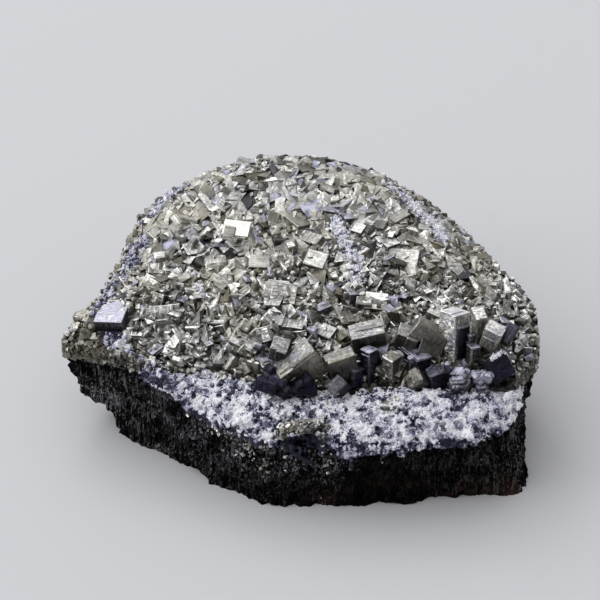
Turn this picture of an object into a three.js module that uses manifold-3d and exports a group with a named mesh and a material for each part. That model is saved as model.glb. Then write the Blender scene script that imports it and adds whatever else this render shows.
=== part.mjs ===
// A pyrite specimen: a thick plate of dark massive sulphide with a domed crust of
// intergrown pyrite cubes on top, and a band of white quartz on a ledge along its front.
// Millimetres, +Z up, the viewer at -Y. The origin is the middle of the flat underside.
import * as THREE from "three";
import { ConvexGeometry } from "three/addons/geometries/ConvexGeometry.js";
import { mergeVertices } from "three/addons/utils/BufferGeometryUtils.js";
import Module from "manifold-3d";

const wasm = await Module();
wasm.setup();

// Driving dimensions
const CENTRE = [0, 2];
const WALL_SPOKES = 52;
const CRUST_SPOKES = 36;
const GAP = 0.35;
const ROOM = 0.3;
const WALL_ROUGHNESS = 1;
const EDGE_ROUGHNESS = 0.8;
const CRUST_UNDER = 19.5;
const CRUST_LIP = 21.5;
const FRONT_Y = -40;
const FRONT_SURFACE = 26.3;
const SLOPE = 0.182;
const SHOULDER_POWER = 5;
const SKIN_RINGS = [1, 0.88, 0.55];
const SHELF_BACK = [2.5, 18];

// The plan, station by station, anticlockwise from the left tip along the front:
// x and y of the wall's top edge, its height, how far the crust's edge is set back from it
// (negative where it overhangs), the crust edge's height, and how far the foot is drawn in.
const STATIONS = [
  { x: -54.5, y: -16, wall: 19, ledge: -0.8, crust: 23.5, foot: 11 },
  { x: -49.5, y: -19, wall: 19, ledge: -0.6, crust: 24, foot: 6.5 },
  { x: -43, y: -22, wall: 19, ledge: -0.2, crust: 24.5, foot: 1.5 },
  { x: -36, y: -26, wall: 18.5, ledge: 0.8, crust: 24, foot: -0.8 },
  { x: -28, y: -31.5, wall: 17.5, ledge: 2.5, crust: 24, foot: -0.6 },
  { x: -20, y: -38.5, wall: 16.2, ledge: 7, crust: 22.5, foot: -1.2 },
  { x: -10, y: -44, wall: 15.5, ledge: 10.5, crust: 22.5, foot: -2.2 },
  { x: 0, y: -47.5, wall: 15, ledge: 11.5, crust: 22.5, foot: 0 },
  { x: 10, y: -48.5, wall: 15, ledge: 12.5, crust: 22.5, foot: 0.8 },
  { x: 20, y: -48, wall: 15.5, ledge: 12.5, crust: 22.5, foot: 0.8 },
  { x: 30, y: -46.5, wall: 16, ledge: 12, crust: 22.5, foot: 0.8 },
  { x: 40, y: -44.5, wall: 16, ledge: 10.5, crust: 22.5, foot: -0.5 },
  { x: 46.8, y: -41, wall: 17, ledge: 7, crust: 23.5, foot: -4.4 },
  { x: 49.4, y: -34, wall: 18.5, ledge: 1.2, crust: 24.5, foot: -2.6 },
  { x: 53.5, y: -20, wall: 19, ledge: -2, crust: 27, foot: 3 },
  { x: 52.5, y: -7, wall: 19, ledge: -1.5, crust: 28, foot: 4 },
  { x: 45.4, y: 6.4, wall: 19, ledge: -1, crust: 29.5, foot: 3 },
  { x: 38.5, y: 19, wall: 19, ledge: -1, crust: 30.5, foot: 3 },
  { x: 29, y: 32, wall: 19, ledge: -1, crust: 31.5, foot: 3 },
  { x: 16, y: 43, wall: 19, ledge: -1, crust: 32.5, foot: 3 },
  { x: 1, y: 48, wall: 19, ledge: -1, crust: 32.5, foot: 3 },
  { x: -14, y: 46, wall: 19, ledge: -1, crust: 32.5, foot: 3 },
  { x: -27, y: 39, wall: 19, ledge: -1, crust: 31.5, foot: 3 },
  { x: -37, y: 28, wall: 19, ledge: -1, crust: 30.5, foot: 3 },
  { x: -41, y: 14.5, wall: 19, ledge: -1, crust: 29.5, foot: 3 },
  { x: -44.2, y: 1.5, wall: 19, ledge: -1, crust: 27, foot: 4 },
];

// The wall from its foot to its top edge: the share of its height, and the shares of the foot's
// inset and of the roughness that each level has.
const WALL_LEVELS = [
  [0, 1, 0.5],
  [0.08, 0.9, 1],
  [0.3, 0.6, 1],
  [0.55, 0.25, 1],
  [0.8, 0.05, 1],
  [1, 0, 0.6],
];

// The crystals that are told apart at a glance, from the front row to the back: the place of
// each one's middle, its three edge lengths, and its turn about Z, then Y, then X, in degrees.
const MAIN_CRYSTALS = [
  // the front row, above the quartz
  { at: [0.5, -31.4, 26], size: [9.5, 7, 8.5], turn: [24, -30, -10] },
  { at: [-2.6, -34.7, 26.4], size: [3.5, 3, 5], turn: [24, -28, 4] },
  { at: [-3.4, -35.6, 23.6], size: [12, 6, 3.8], turn: [-8, 6, -24] },
  { at: [9.6, -32.4, 27.4], size: [6.4, 3.4, 7.6], turn: [16, -13, 2] },
  { at: [8.8, -36.3, 24.7], size: [3.4, 3.4, 3.8], turn: [52, 48, 20] },
  { at: [15.7, -30.8, 26.2], size: [3, 3, 9], turn: [44, 6, -8] },
  { at: [20.6, -31.5, 25.8], size: [3, 3.4, 8], turn: [48, 0, 0] },
  { at: [25.6, -28.4, 26.3], size: [4.5, 7.4, 4.5], turn: [36, 10, 0] },
  { at: [26.5, -31.6, 23.8], size: [4, 4, 5.5], turn: [40, 22, -24] },
  { at: [24.3, -25, 30], size: [5, 4.5, 4], turn: [-10, 18, 2] },
  { at: [29.6, -26.8, 28.9], size: [5.4, 3, 4], turn: [-4, 20, -28] },
  { at: [29.2, -25.4, 31.4], size: [8, 4, 4], turn: [-12, 34, -10] },
  { at: [34.9, -25.8, 31.2], size: [5, 5, 11.5], turn: [42, 12, -12] },
  { at: [40.9, -23.8, 30.8], size: [2.6, 5, 11], turn: [12, -4, 0] },
  { at: [43.4, -28, 32.8], size: [4, 4, 5], turn: [-24, 14, 0] },
  { at: [47, -27, 32.5], size: [2.5, 5, 2], turn: [-34, 8, 30] },
  { at: [44.6, -31.7, 26.4], size: [5.5, 5.5, 5.5], turn: [-44, 44, -58] },
  { at: [36, -35, 25.4], size: [5.2, 4.5, 4.2], turn: [38, -22, 4] },
  { at: [41, -34.8, 25.4], size: [3.6, 3.6, 5], turn: [32, -12, 10] },
  // the middle of the field
  { at: [15.3, -25.6, 31.2], size: [7.8, 5, 4], turn: [8, -10, 6] },
  { at: [-4.7, -28.9, 29.6], size: [3.8, 4, 4], turn: [-12, 12, 10] },
  { at: [-12.3, -24, 28], size: [7, 4.5, 4.5], turn: [-24, 14, 20] },
  { at: [-8, -22.5, 30], size: [3.4, 4.6, 5.4], turn: [120, -54, -150] },
  { at: [-4.5, -9.5, 30.7], size: [7.5, 5.5, 5.5], turn: [-8, 2, 24] },
  { at: [17.5, -13, 30.8], size: [5.2, 4.8, 4.8], turn: [-6, 4, 18] },
  { at: [12, -11.5, 31], size: [3, 4, 6.5], turn: [20, 8, -4] },
  { at: [-13, -11, 30.6], size: [6, 4.5, 4.5], turn: [28, -22, 24] },
  { at: [-19.5, -6, 31.5], size: [4.4, 4.4, 4], turn: [-30, 20, 34] },
  { at: [-27, -6, 30.6], size: [5.6, 5, 5], turn: [20, -24, 20] },
  { at: [-31.5, -13, 28.8], size: [5.4, 6, 4], turn: [-5, -8, -34] },
  { at: [-43.2, -13.2, 27], size: [7, 7.5, 5], turn: [-14, -8, 8] },
  // the far half
  { at: [-1.5, 1.5, 32.5], size: [5.5, 5, 5], turn: [40, 24, -20] },
  { at: [3.6, 0.5, 32.6], size: [5, 5, 6.5], turn: [-18, 6, 12] },
  { at: [24.5, 2, 32.6], size: [7.5, 5.5, 5], turn: [-12, -4, 12] },
  { at: [-15, 11.5, 34.4], size: [5.5, 4.4, 4.4], turn: [168, 0, 156] },
  { at: [-5.5, 17, 34.8], size: [6, 5.2, 4.8], turn: [-162, 18, 162] },
  { at: [9.8, 21, 35.7], size: [6, 5.4, 4], turn: [150, 18, -174] },
  { at: [20.6, 11.2, 34.4], size: [5.6, 3.8, 4], turn: [156, 6, 168] },
  { at: [14.8, 12.5, 34.7], size: [4.6, 5.5, 4], turn: [150, 0, 168] },
];
const FINE_CLUSTER = { at: [46, -11, 29], reach: 3.2, grain: 3, count: 7 };

// What fills the field between them. Spacing, lean and how far a block stands out of the skin
// change from the front of the field to its back; fill is a block's size for its spacing.
const FIELD = {
  across: [-57, 57],
  along: [-46, 52],
  depth: 90,
  tries: 4000,
  spacing: [6.6, 5.6],
  spacingSpread: [0.85, 1.15],
  fill: 1.3,
  rimStart: 0.7,
  rimFill: 0.7,
  rimStop: 0.94,
  frontRimStop: 0.95,
  frontStrip: -30,
  lean: [34, 20],
  proud: [2.6, 1.2],
  proudSpread: [0.6, 1.2],
  cubes: 0.88,
  cutCubes: 0.07,
  seed: 11,
};
// The front row stands free: nothing smaller fills the strip before it.
const CLEAR = { left: -12, right: 50, back: -33 };

const BAND = {
  from: 0.105,
  to: 0.515,
  lean: 0.9,
  crown: 6.3,
  reach: 1.6,
  steps: 30,
  points: 26,
  pointRadius: [1.5, 2.5],
};
const CLUSTER = { at: [1, -44.9, 19.7], spread: [5, 1.4, 1.4], edge: [2.4, 3.6], count: 7, seed: 5 };

const radians = THREE.MathUtils.degToRad;
const lerp = THREE.MathUtils.lerp;

// A seeded source of numbers from 0 to 1.
function numbers(seed) {
  let state = seed >>> 0;
  return () => {
    state = (state + 0x6d2b79f5) >>> 0;
    let t = Math.imul(state ^ (state >>> 15), state | 1);
    t ^= t + Math.imul(t ^ (t >>> 7), t | 61);
    return ((t ^ (t >>> 14)) >>> 0) / 4294967296;
  };
}

// The station at share u of the way round, on a smooth closed curve through them all.
function station(u) {
  const n = STATIONS.length;
  const at = (((u % 1) + 1) % 1) * n;
  const k = Math.floor(at);
  const t = at - k;
  const [a, b, c, d] = [-1, 0, 1, 2].map((i) => STATIONS[(k + i + n) % n]);
  const blend = (key) => {
    const [p, q, r, s] = [a[key], b[key], c[key], d[key]];
    const m0 = (r - p) / 2;
    const m1 = (s - q) / 2;
    return (2 * q - 2 * r + m0 + m1) * t ** 3 + (-3 * q + 3 * r - 2 * m0 - m1) * t ** 2 + m0 * t + q;
  };
  return Object.fromEntries(Object.keys(b).map((key) => [key, blend(key)]));
}

// A station's point moved towards the middle by a distance.
function inset(s, by) {
  const dx = CENTRE[0] - s.x;
  const dy = CENTRE[1] - s.y;
  const far = Math.hypot(dx, dy);
  return [s.x + (dx / far) * by, s.y + (dy / far) * by];
}

const spokes = (count) => [...Array(count).keys()].map((i) => i / count);

// The crust's edge as directions from the middle, with its distance and height in each.
const edge = spokes(CRUST_SPOKES)
  .map((u) => {
    const s = station(u);
    const [x, y] = inset(s, s.ledge);
    const [dx, dy] = [x - CENTRE[0], y - CENTRE[1]];
    return { angle: Math.atan2(dy, dx), reach: Math.hypot(dx, dy), height: s.crust };
  })
  .sort((a, b) => a.angle - b.angle);

// The share of the way from the middle to the crust's edge, and the edge's height that way.
function outward(x, y) {
  const [dx, dy] = [x - CENTRE[0], y - CENTRE[1]];
  const angle = Math.atan2(dy, dx);
  const k = edge.findIndex((e) => e.angle > angle);
  const b = edge[k === -1 ? 0 : k];
  const a = edge.at((k === -1 ? edge.length : k) - 1);
  const turn = (v) => ((v % (2 * Math.PI)) + 2 * Math.PI) % (2 * Math.PI);
  const t = turn(angle - a.angle) / turn(b.angle - a.angle);
  return { r: Math.hypot(dx, dy) / lerp(a.reach, b.reach, t), height: lerp(a.height, b.height, t) };
}

// The height of the crust's skin, at share r of the way from the middle to the crust's edge.
function skin(y, r, height) {
  const dome = FRONT_SURFACE + SLOPE * (y - FRONT_Y);
  return height + (dome - height) * (1 - r ** SHOULDER_POWER);
}

function asSolid(geometry) {
  geometry.deleteAttribute("normal");
  geometry.deleteAttribute("uv");
  const merged = mergeVertices(geometry, 1e-4);
  return new wasm.Manifold(
    new wasm.Mesh({
      numProp: 3,
      vertProperties: new Float32Array(merged.attributes.position.array),
      triVerts: new Uint32Array(merged.index.array),
    }),
  );
}

// A closed solid from rings of points, each ring with the same count, capped at both ends.
function fromRings(rings) {
  const count = rings[0].length;
  const faces = [];
  for (let k = 0; k + 1 < rings.length; k++) {
    for (let i = 0; i < count; i++) {
      const a = k * count + i;
      const b = k * count + ((i + 1) % count);
      faces.push([a, b, b + count], [a, b + count, a + count]);
    }
  }
  const points = rings.flat();
  const middle = (ring) => ring.reduce((m, p) => m.map((v, j) => v + p[j] / count), [0, 0, 0]);
  const low = points.push(middle(rings[0])) - 1;
  const high = points.push(middle(rings.at(-1))) - 1;
  const last = (rings.length - 1) * count;
  for (let i = 0; i < count; i++) {
    const next = (i + 1) % count;
    faces.push([low, next, i], [high, last + i, last + next]);
  }
  const geometry = new THREE.BufferGeometry().setFromPoints(points.map((p) => new THREE.Vector3(...p)));
  return asSolid(geometry.setIndex(faces.flat()));
}

// The dark plate. With a margin it is the room that its neighbours leave for it.
function matrixBody(margin = 0) {
  const random = numbers(3);
  const around = spokes(WALL_SPOKES);
  const rib = around.map(() => (random() - 0.5) * 2 * WALL_ROUGHNESS);
  const ring = (height, drawn, rough) =>
    around.map((u, i) => {
      const s = station(u);
      const chip = (random() - 0.5) * WALL_ROUGHNESS;
      const [x, y] = inset(s, s.foot * drawn + (rib[i] + chip) * rough - margin);
      return [x, y, height === 0 ? 0 : height * s.wall + margin];
    });
  const top = (back, z) =>
    around.map((u) => {
      const s = station(u);
      const [x, y] = inset(s, Math.max(s.ledge, 0) + back);
      return [x, y, z + margin];
    });
  return fromRings([
    ...WALL_LEVELS.map((level) => ring(...level)),
    ...SHELF_BACK.map((back) => top(back, CRUST_UNDER - GAP)),
  ]);
}

// One block of pyrite: a cube, a cube with its corners cut, or a pyritohedron.
function crystal({ at, size, turn }, form = "cube", margin = 0) {
  const box = () => new THREE.BoxGeometry(1, 1, 1);
  const shapes = {
    cube: box,
    cut: () => new ConvexGeometry(permutations([0.5, 0.5, 0.2])),
    pyritohedron: () => new ConvexGeometry([...permutations([0.42, 0.42, 0.42]), ...rolls([0, 0.62, 0.3])]),
  };
  const [yaw, pitch, roll] = turn.map(radians);
  const place = new THREE.Matrix4().compose(
    new THREE.Vector3(...at),
    new THREE.Quaternion().setFromEuler(new THREE.Euler(roll, pitch, yaw, "ZYX")),
    new THREE.Vector3(...size.map((v) => v + 2 * margin)),
  );
  return asSolid(shapes[form]().applyMatrix4(place));
}

// Every point whose coordinates are plus or minus these three.
function signs([x, y, z]) {
  const all = [];
  for (const i of [-1, 1]) {
    for (const j of [-1, 1]) {
      for (const k of [-1, 1]) {
        all.push(new THREE.Vector3(i * x, j * y, k * z));
      }
    }
  }
  return all;
}

const rolls = ([x, y, z]) => [...signs([x, y, z]), ...signs([y, z, x]), ...signs([z, x, y])];
const permutations = ([x, y, z]) => [...rolls([x, y, z]), ...rolls([y, x, z])];

// How far a turned block reaches above its middle.
function halfHeight(size, [_yaw, pitch, roll]) {
  const [p, r] = [radians(pitch), radians(roll)];
  const up = [Math.sin(p), Math.cos(p) * Math.sin(r), Math.cos(p) * Math.cos(r)];
  return up.reduce((sum, v, i) => sum + (Math.abs(v) * size[i]) / 2, 0);
}

// Blocks that fill the field between the main ones, none closer than their own spacing.
function fieldCrystals() {
  const random = numbers(FIELD.seed);
  const placed = MAIN_CRYSTALS.map(({ at: [x, y], size: [a, b, c] }) => {
    return { x, y, room: (a + b + c) / 3 };
  });
  const found = [];
  for (let k = 0; k < FIELD.tries; k++) {
    const [x, y] = [lerp(...FIELD.across, random()), lerp(...FIELD.along, random())];
    const [yaw, pitch, roll, bulk, kind] = [...Array(5)].map(random);
    const { r, height } = outward(x, y);
    const back = (y - FRONT_Y) / FIELD.depth;
    const room = lerp(...FIELD.spacing, back) * lerp(...FIELD.spacingSpread, bulk);
    const stop = y < FIELD.frontStrip ? FIELD.frontRimStop : FIELD.rimStop;
    const clear = x > CLEAR.left && x < CLEAR.right && y < CLEAR.back;
    if (clear || r > stop || placed.some((p) => Math.hypot(p.x - x, p.y - y) < (p.room + room) / 2)) {
      continue;
    }
    placed.push({ x, y, room });
    const lean = lerp(...FIELD.lean, back);
    const rim = THREE.MathUtils.smoothstep(r, FIELD.rimStart, 1);
    const side = room * FIELD.fill * lerp(1, FIELD.rimFill, rim);
    const size = [side * lerp(0.8, 1.15, yaw), side * lerp(1.1, 0.85, roll), side * lerp(0.9, 1.1, pitch)];
    const turn = [yaw * 360, lerp(-lean, lean, pitch), lerp(-lean, lean, roll)];
    const proud = lerp(...FIELD.proud, back) * lerp(...FIELD.proudSpread, kind);
    found.push({
      form: kind < FIELD.cubes ? "cube" : kind < FIELD.cubes + FIELD.cutCubes ? "cut" : "pyritohedron",
      at: [x, y, skin(y, r, height) + proud - halfHeight(size, turn)],
      size,
      turn,
    });
  }
  return found;
}

// The rounded knob of fine grains on the right shoulder.
function fineCluster() {
  const random = numbers(29);
  const { at, reach, grain, count } = FINE_CLUSTER;
  return [...Array(count)].map(() => {
    const offset = [random(), random(), random()].map((v) => (v - 0.5) * 2 * reach);
    const place = [at[0] + offset[0], at[1] + offset[1], at[2] + offset[2] * 0.5];
    return { at: place, size: [grain, grain, grain], turn: [random() * 90, random() * 60, random() * 60] };
  });
}

function crustBody() {
  const random = numbers(41);
  const ring = (r, z) =>
    spokes(CRUST_SPOKES).map((u) => {
      const s = station(u);
      const [ex, ey] = inset(s, s.ledge + (random() * 2 - 1) * EDGE_ROUGHNESS);
      const x = CENTRE[0] + (ex - CENTRE[0]) * r;
      const y = CENTRE[1] + (ey - CENTRE[1]) * r;
      return [x, y, z ?? skin(y, r, s.crust)];
    });
  const shell = fromRings([
    ring(SKIN_RINGS.at(-1), CRUST_UNDER),
    ring(0.97, CRUST_UNDER),
    ring(1, CRUST_LIP),
    ...SKIN_RINGS.map((r) => ring(r)),
  ]);
  const blocks = [...MAIN_CRYSTALS, ...fieldCrystals(), ...fineCluster()].map((c) => crystal(c, c.form));
  return wasm.Manifold.union([shell, ...blocks]);
}

// One low six-sided quartz point, from its root to its tip.
function quartzPoint(at, radius, length, turn) {
  const profile = [
    [0, 0],
    [radius, 0],
    [0, length],
  ];
  const geometry = new THREE.LatheGeometry(profile.map((p) => new THREE.Vector2(...p)), 6);
  geometry.applyMatrix4(
    new THREE.Matrix4().compose(
      new THREE.Vector3(...at),
      new THREE.Quaternion().setFromEuler(new THREE.Euler(...turn)),
      new THREE.Vector3(1, 1, 1),
    ),
  );
  return asSolid(geometry);
}

// The quartz on the ledge, with its points. With a margin it is the room that it needs.
function bandBody(margin = 0) {
  const random = numbers(17);
  const rings = [];
  for (let k = 0; k <= BAND.steps; k++) {
    const share = k / BAND.steps;
    const s = station(lerp(BAND.from, BAND.to, share));
    const swell = Math.min(1, 6 * share + 0.12, 5 * (1 - share) + 0.12) * lerp(0.85, 1.1, random());
    const depth = Math.max(s.ledge, 0) + BAND.reach;
    const low = s.wall - 1;
    const profile = [
      [-0.6 * swell - margin, low - margin],
      [-BAND.lean * swell - margin, s.wall + 1.2 * swell],
      [0.15 * depth - margin, s.wall + 0.7 * BAND.crown * swell + margin],
      [0.5 * depth, s.wall + BAND.crown * swell + margin],
      [0.9 * depth, s.wall + (BAND.crown + 1) * swell + margin],
      [depth + margin, s.wall + BAND.crown * swell + margin],
      [depth + margin, low - margin],
    ];
    rings.push(
      profile.map(([back, z]) => {
        const [x, y] = inset(s, back);
        return [x, y, z];
      }),
    );
  }
  const points = [...Array(BAND.points)].map((_, k) => {
    const s = station(lerp(BAND.from + 0.03, BAND.to - 0.03, (k + random()) / BAND.points));
    const back = lerp(0, 0.8, random());
    const [x, y] = inset(s, back * Math.max(s.ledge, 1));
    const [least, most] = BAND.pointRadius;
    const radius = lerp(least, most, random());
    const turn = [radians(90 + lerp(-50, 20, random())), radians(lerp(-30, 30, random())), 0];
    const at = [x, y, s.wall + BAND.crown * lerp(0.35, 0.95, back) - margin];
    return quartzPoint(at, radius + 2 * margin, radius * 1.5 + 2 * margin, turn);
  });
  return wasm.Manifold.union([fromRings(rings.reverse()), ...points]);
}

// The small pyrite knot where the quartz and the plate meet at the front.
function clusterBody(margin = 0) {
  const random = numbers(CLUSTER.seed);
  const blocks = [...Array(CLUSTER.count)].map((_, k) => {
    const along = (k / (CLUSTER.count - 1)) * 2 - 1;
    const offset = [along, random() * 2 - 1, random() * 2 - 1];
    const side = lerp(...CLUSTER.edge, random());
    return crystal(
      {
        at: CLUSTER.at.map((v, i) => v + offset[i] * CLUSTER.spread[i]),
        size: [side * 1.2, side, side],
        turn: [random() * 90, random() * 50 - 25, random() * 50 - 25],
      },
      "cube",
      margin,
    );
  });
  return wasm.Manifold.union(blocks);
}

// The biggest of the bodies that a cut leaves.
function main(solid) {
  return solid.decompose().reduce((a, b) => (b.volume() > a.volume() ? b : a));
}

function mesh(name, solid, look) {
  const { vertProperties, triVerts } = solid.getMesh();
  const geometry = new THREE.BufferGeometry()
    .setAttribute("position", new THREE.BufferAttribute(vertProperties, 3))
    .setIndex(new THREE.BufferAttribute(triVerts, 1));
  const made = new THREE.Mesh(geometry, new THREE.MeshStandardMaterial(look));
  made.name = name;
  return made;
}

const clusterRoom = clusterBody(ROOM);
const matrixRoom = matrixBody(ROOM);
const matrix = main(matrixBody().subtract(clusterRoom));
const band = main(bandBody().subtract(matrixRoom).subtract(clusterRoom));
const crust = main(crustBody().subtract(matrixRoom).subtract(bandBody(ROOM)).subtract(clusterRoom));

const specimen = new THREE.Group();
specimen.add(mesh("matrix", matrix, { color: 0x2b2a2c, roughness: 0.6, metalness: 0.2 }));
specimen.add(mesh("quartz_band", band, { color: 0xdfe0f2, roughness: 0.4, metalness: 0 }));
specimen.add(mesh("pyrite_crust", crust, { color: 0xa9a58f, roughness: 0.3, metalness: 1 }));
specimen.add(mesh("front_cluster", main(clusterBody()), { color: 0x9a9478, roughness: 0.35, metalness: 1 }));
export default specimen;
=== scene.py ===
"""A pyrite specimen: a crust of intergrown pyrite on a dark plate, with quartz along the front."""

import math

import bpy
import numpy as np
from mathutils import Euler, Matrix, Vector, noise
from mathutils.bvhtree import BVHTree


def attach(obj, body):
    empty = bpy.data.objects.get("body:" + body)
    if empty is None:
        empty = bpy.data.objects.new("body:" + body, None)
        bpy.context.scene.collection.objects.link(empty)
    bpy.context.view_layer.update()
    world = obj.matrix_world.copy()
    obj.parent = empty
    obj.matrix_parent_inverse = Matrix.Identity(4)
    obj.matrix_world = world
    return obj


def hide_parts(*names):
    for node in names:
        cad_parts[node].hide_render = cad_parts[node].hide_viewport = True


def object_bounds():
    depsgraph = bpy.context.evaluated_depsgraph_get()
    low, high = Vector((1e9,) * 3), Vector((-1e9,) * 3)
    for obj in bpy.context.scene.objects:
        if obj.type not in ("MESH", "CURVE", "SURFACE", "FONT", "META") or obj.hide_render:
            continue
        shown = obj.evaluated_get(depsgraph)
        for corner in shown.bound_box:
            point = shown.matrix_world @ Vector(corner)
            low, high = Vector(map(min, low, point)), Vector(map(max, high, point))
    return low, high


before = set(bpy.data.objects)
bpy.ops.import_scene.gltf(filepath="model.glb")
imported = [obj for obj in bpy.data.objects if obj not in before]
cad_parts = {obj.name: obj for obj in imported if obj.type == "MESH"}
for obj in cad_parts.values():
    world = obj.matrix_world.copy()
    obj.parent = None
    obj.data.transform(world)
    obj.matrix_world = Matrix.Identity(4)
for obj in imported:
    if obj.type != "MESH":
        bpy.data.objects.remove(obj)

cad_box = [list(corner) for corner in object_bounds()]


# The dark plate
# Massive black sulphide that the crystals grew on, with an upright fibrous grain. It broke off
# the vein wall, so its front is a rough ribbed cliff and its underside is one flat break.
MM = 0.001
CENTRE = np.array([0, 2])
CRUST_UNDER = 19.5
PLATE_TOP = CRUST_UNDER - 0.35
STATIONS = (
    # x, y, height of the wall, width of the ledge, height of the crust's edge, foot drawn in by
    (-54.5, -16, 19, -0.8, 23.5, 11),
    (-49.5, -19, 19, -0.6, 24, 6.5),
    (-43, -22, 19, -0.2, 24.5, 1.5),
    (-36, -26, 18.5, 0.8, 24, -0.8),
    (-28, -31.5, 17.5, 2.5, 24, -0.6),
    (-20, -38.5, 16.2, 7, 22.5, -1.2),
    (-10, -44, 15.5, 10.5, 22.5, -2.2),
    (0, -47.5, 15, 11.5, 22.5, 0),
    (10, -48.5, 15, 12.5, 22.5, 0.8),
    (20, -48, 15.5, 12.5, 22.5, 0.8),
    (30, -46.5, 16, 12, 22.5, 0.8),
    (40, -44.5, 16, 10.5, 22.5, -0.5),
    (46.8, -41, 17, 7, 23.5, -4.4),
    (49.4, -34, 18.5, 1.2, 24.5, -2.6),
    (53.5, -20, 19, -2, 27, 3),
    (52.5, -7, 19, -1.5, 28, 4),
    (45.4, 6.4, 19, -1, 29.5, 3),
    (38.5, 19, 19, -1, 30.5, 3),
    (29, 32, 19, -1, 31.5, 3),
    (16, 43, 19, -1, 32.5, 3),
    (1, 48, 19, -1, 32.5, 3),
    (-14, 46, 19, -1, 32.5, 3),
    (-27, 39, 19, -1, 31.5, 3),
    (-37, 28, 19, -1, 30.5, 3),
    (-41, 14.5, 19, -1, 29.5, 3),
    (-44.2, 1.5, 19, -1, 27, 4),
)
X, Y, WALL, LEDGE, CRUST, FOOT = range(6)
PLATE_SPOKES = 900
PLATE_ROWS = 46
DRAWN_AT = (0, 0.08, 0.3, 0.55, 0.8, 1)
DRAWN_IN = (1, 0.9, 0.6, 0.25, 0.05, 0)
SHELF = (2.5, 6, 18)
WALL_OUT = 0.4
CHIPS_FROM = 1
# size and depth of the wall's lumps, and of the chips that its rows step up and down by
FIBRES = (((2.4, 2.4, 11), 0.7), ((1, 1, 5), 0.5), ((0.45, 0.45, 1.6), 0.35))
BREAKS = (((7, 7, 5), 1.8), ((2.6, 2.6, 2), 1.1), ((1.1, 1.1, 0.9), 0.5))
CHIPS = ((1.4, 1.4, 1.4), 0.5)
# middle, reach and depth
POCKETS = (((1.5, -48.5, 12.5), 4.6, 2.6), ((-19, -40, 12), 3, 1.4), ((24, -48, 11.5), 3.4, 1.2))
SULPHIDE_DARK = (0.001, 0.001, 0.0012, 1)
SULPHIDE_GREY = (0.03, 0.03, 0.03, 1)
SULPHIDE_PALE = (0.3, 0.3, 0.32, 1)
SULPHIDE_RUST = (0.04, 0.02, 0.01, 1)
SPECKLE = (0.26, 0.26, 0.3, 1)
GLINT = (0.4, 0.39, 0.36, 1)


class Wire:
    """A value inside a material, so that its maths is written as maths."""

    def __init__(self, look, socket):
        self.look = look
        self.socket = socket

    def maths(self, operation, first, second):
        return self.look.add("ShaderNodeMath", {"operation": operation}, {0: first, 1: second})

    def __add__(self, other):
        return self.maths("ADD", self, other)

    def __sub__(self, other):
        return self.maths("SUBTRACT", self, other)

    def __rsub__(self, other):
        return self.maths("SUBTRACT", other, self)

    def __mul__(self, other):
        return self.maths("MULTIPLY", self, other)

    def __pow__(self, other):
        return self.maths("POWER", self, other)

    __radd__ = __add__
    __rmul__ = __mul__


class Look:
    """The nodes of a material or of the room. add makes any node: kind, settings, inputs."""

    def __init__(self, owner):
        owner.use_nodes = True
        self.owner = owner
        self.tree = owner.node_tree
        self.tree.nodes.clear()

    def add(self, kind, settings=None, inputs=None, out=0):
        node = self.tree.nodes.new(kind)
        for key, value in (settings or {}).items():
            setattr(node, key, value)
        for key, value in (inputs or {}).items():
            if isinstance(value, Wire):
                self.tree.links.new(value.socket, node.inputs[key])
            else:
                node.inputs[key].default_value = value
        return Wire(self, node.outputs[out]) if node.outputs else None

    def place(self, *stretch):
        """Where a point is on the object in millimetres, each way times its stretch."""
        metres = self.add("ShaderNodeTexCoord", out="Object")
        scale = [s / MM for s in stretch or (1, 1, 1)]
        return self.add("ShaderNodeMapping", inputs={"Vector": metres, "Scale": scale})

    def along(self, axis):
        """How far along one axis of the object a point is, in millimetres."""
        return self.part(self.place(), axis)

    def grain(self, at, per_mm, detail=3, rough=0.55):
        inputs = {"Vector": at, "Scale": per_mm, "Detail": detail, "Roughness": rough}
        return self.add("ShaderNodeTexNoise", inputs=inputs)

    def cells(self, at, per_mm, out):
        return self.add("ShaderNodeTexVoronoi", inputs={"Vector": at, "Scale": per_mm}, out=out)

    def facets(self, at, per_mm):
        """The height of a mosaic in which each cell is flat and has a tilt of its own."""
        tilt = self.vectors("SUBTRACT", self.cells(at, per_mm, "Color"), (0.5, 0.5, 0.5))
        along = self.vectors("SUBTRACT", at, self.cells(at, per_mm, "Position"))
        return self.vectors("DOT_PRODUCT", tilt, along, "Value")

    def vectors(self, operation, first, second, out="Vector"):
        return self.add("ShaderNodeVectorMath", {"operation": operation}, {0: first, 1: second}, out)

    def part(self, vector, axis):
        return self.add("ShaderNodeSeparateXYZ", inputs={"Vector": vector}, out=axis)

    def between(self, value, low, high):
        """0 where value is under low, 1 where it is over high."""
        return self.add("ShaderNodeMapRange", inputs={"Value": value, "From Min": low, "From Max": high})

    def mix(self, share, a, b):
        return self.add("ShaderNodeMix", {"data_type": "RGBA"}, {0: share, 6: a, 7: b}, out=2)

    def painted(self, name):
        return self.add("ShaderNodeAttribute", {"attribute_name": name}, out="Fac")

    def finish(self, height=None, depth=0.0, **inputs):
        """Closes a material with its surface, the bump given by a height up to a depth."""
        named = {key.replace("_", " "): value for key, value in inputs.items()}
        if height is not None:
            named["Normal"] = self.add("ShaderNodeBump", inputs={"Height": height, "Distance": depth})
        surface = self.add("ShaderNodeBsdfPrincipled", inputs=named)
        self.add("ShaderNodeOutputMaterial", inputs={"Surface": surface})
        return self.owner


def new_look(name):
    return Look(bpy.data.materials.new(name))


def lumps(points, size, seed=0.0):
    """Smooth noise from -1 to 1 at points in millimetres, with lumps of the given size."""
    shift = Vector((seed, 1.7 * seed, -seed))
    return np.array([noise.noise(Vector(p) + shift) for p in points / np.array(size)])


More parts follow.
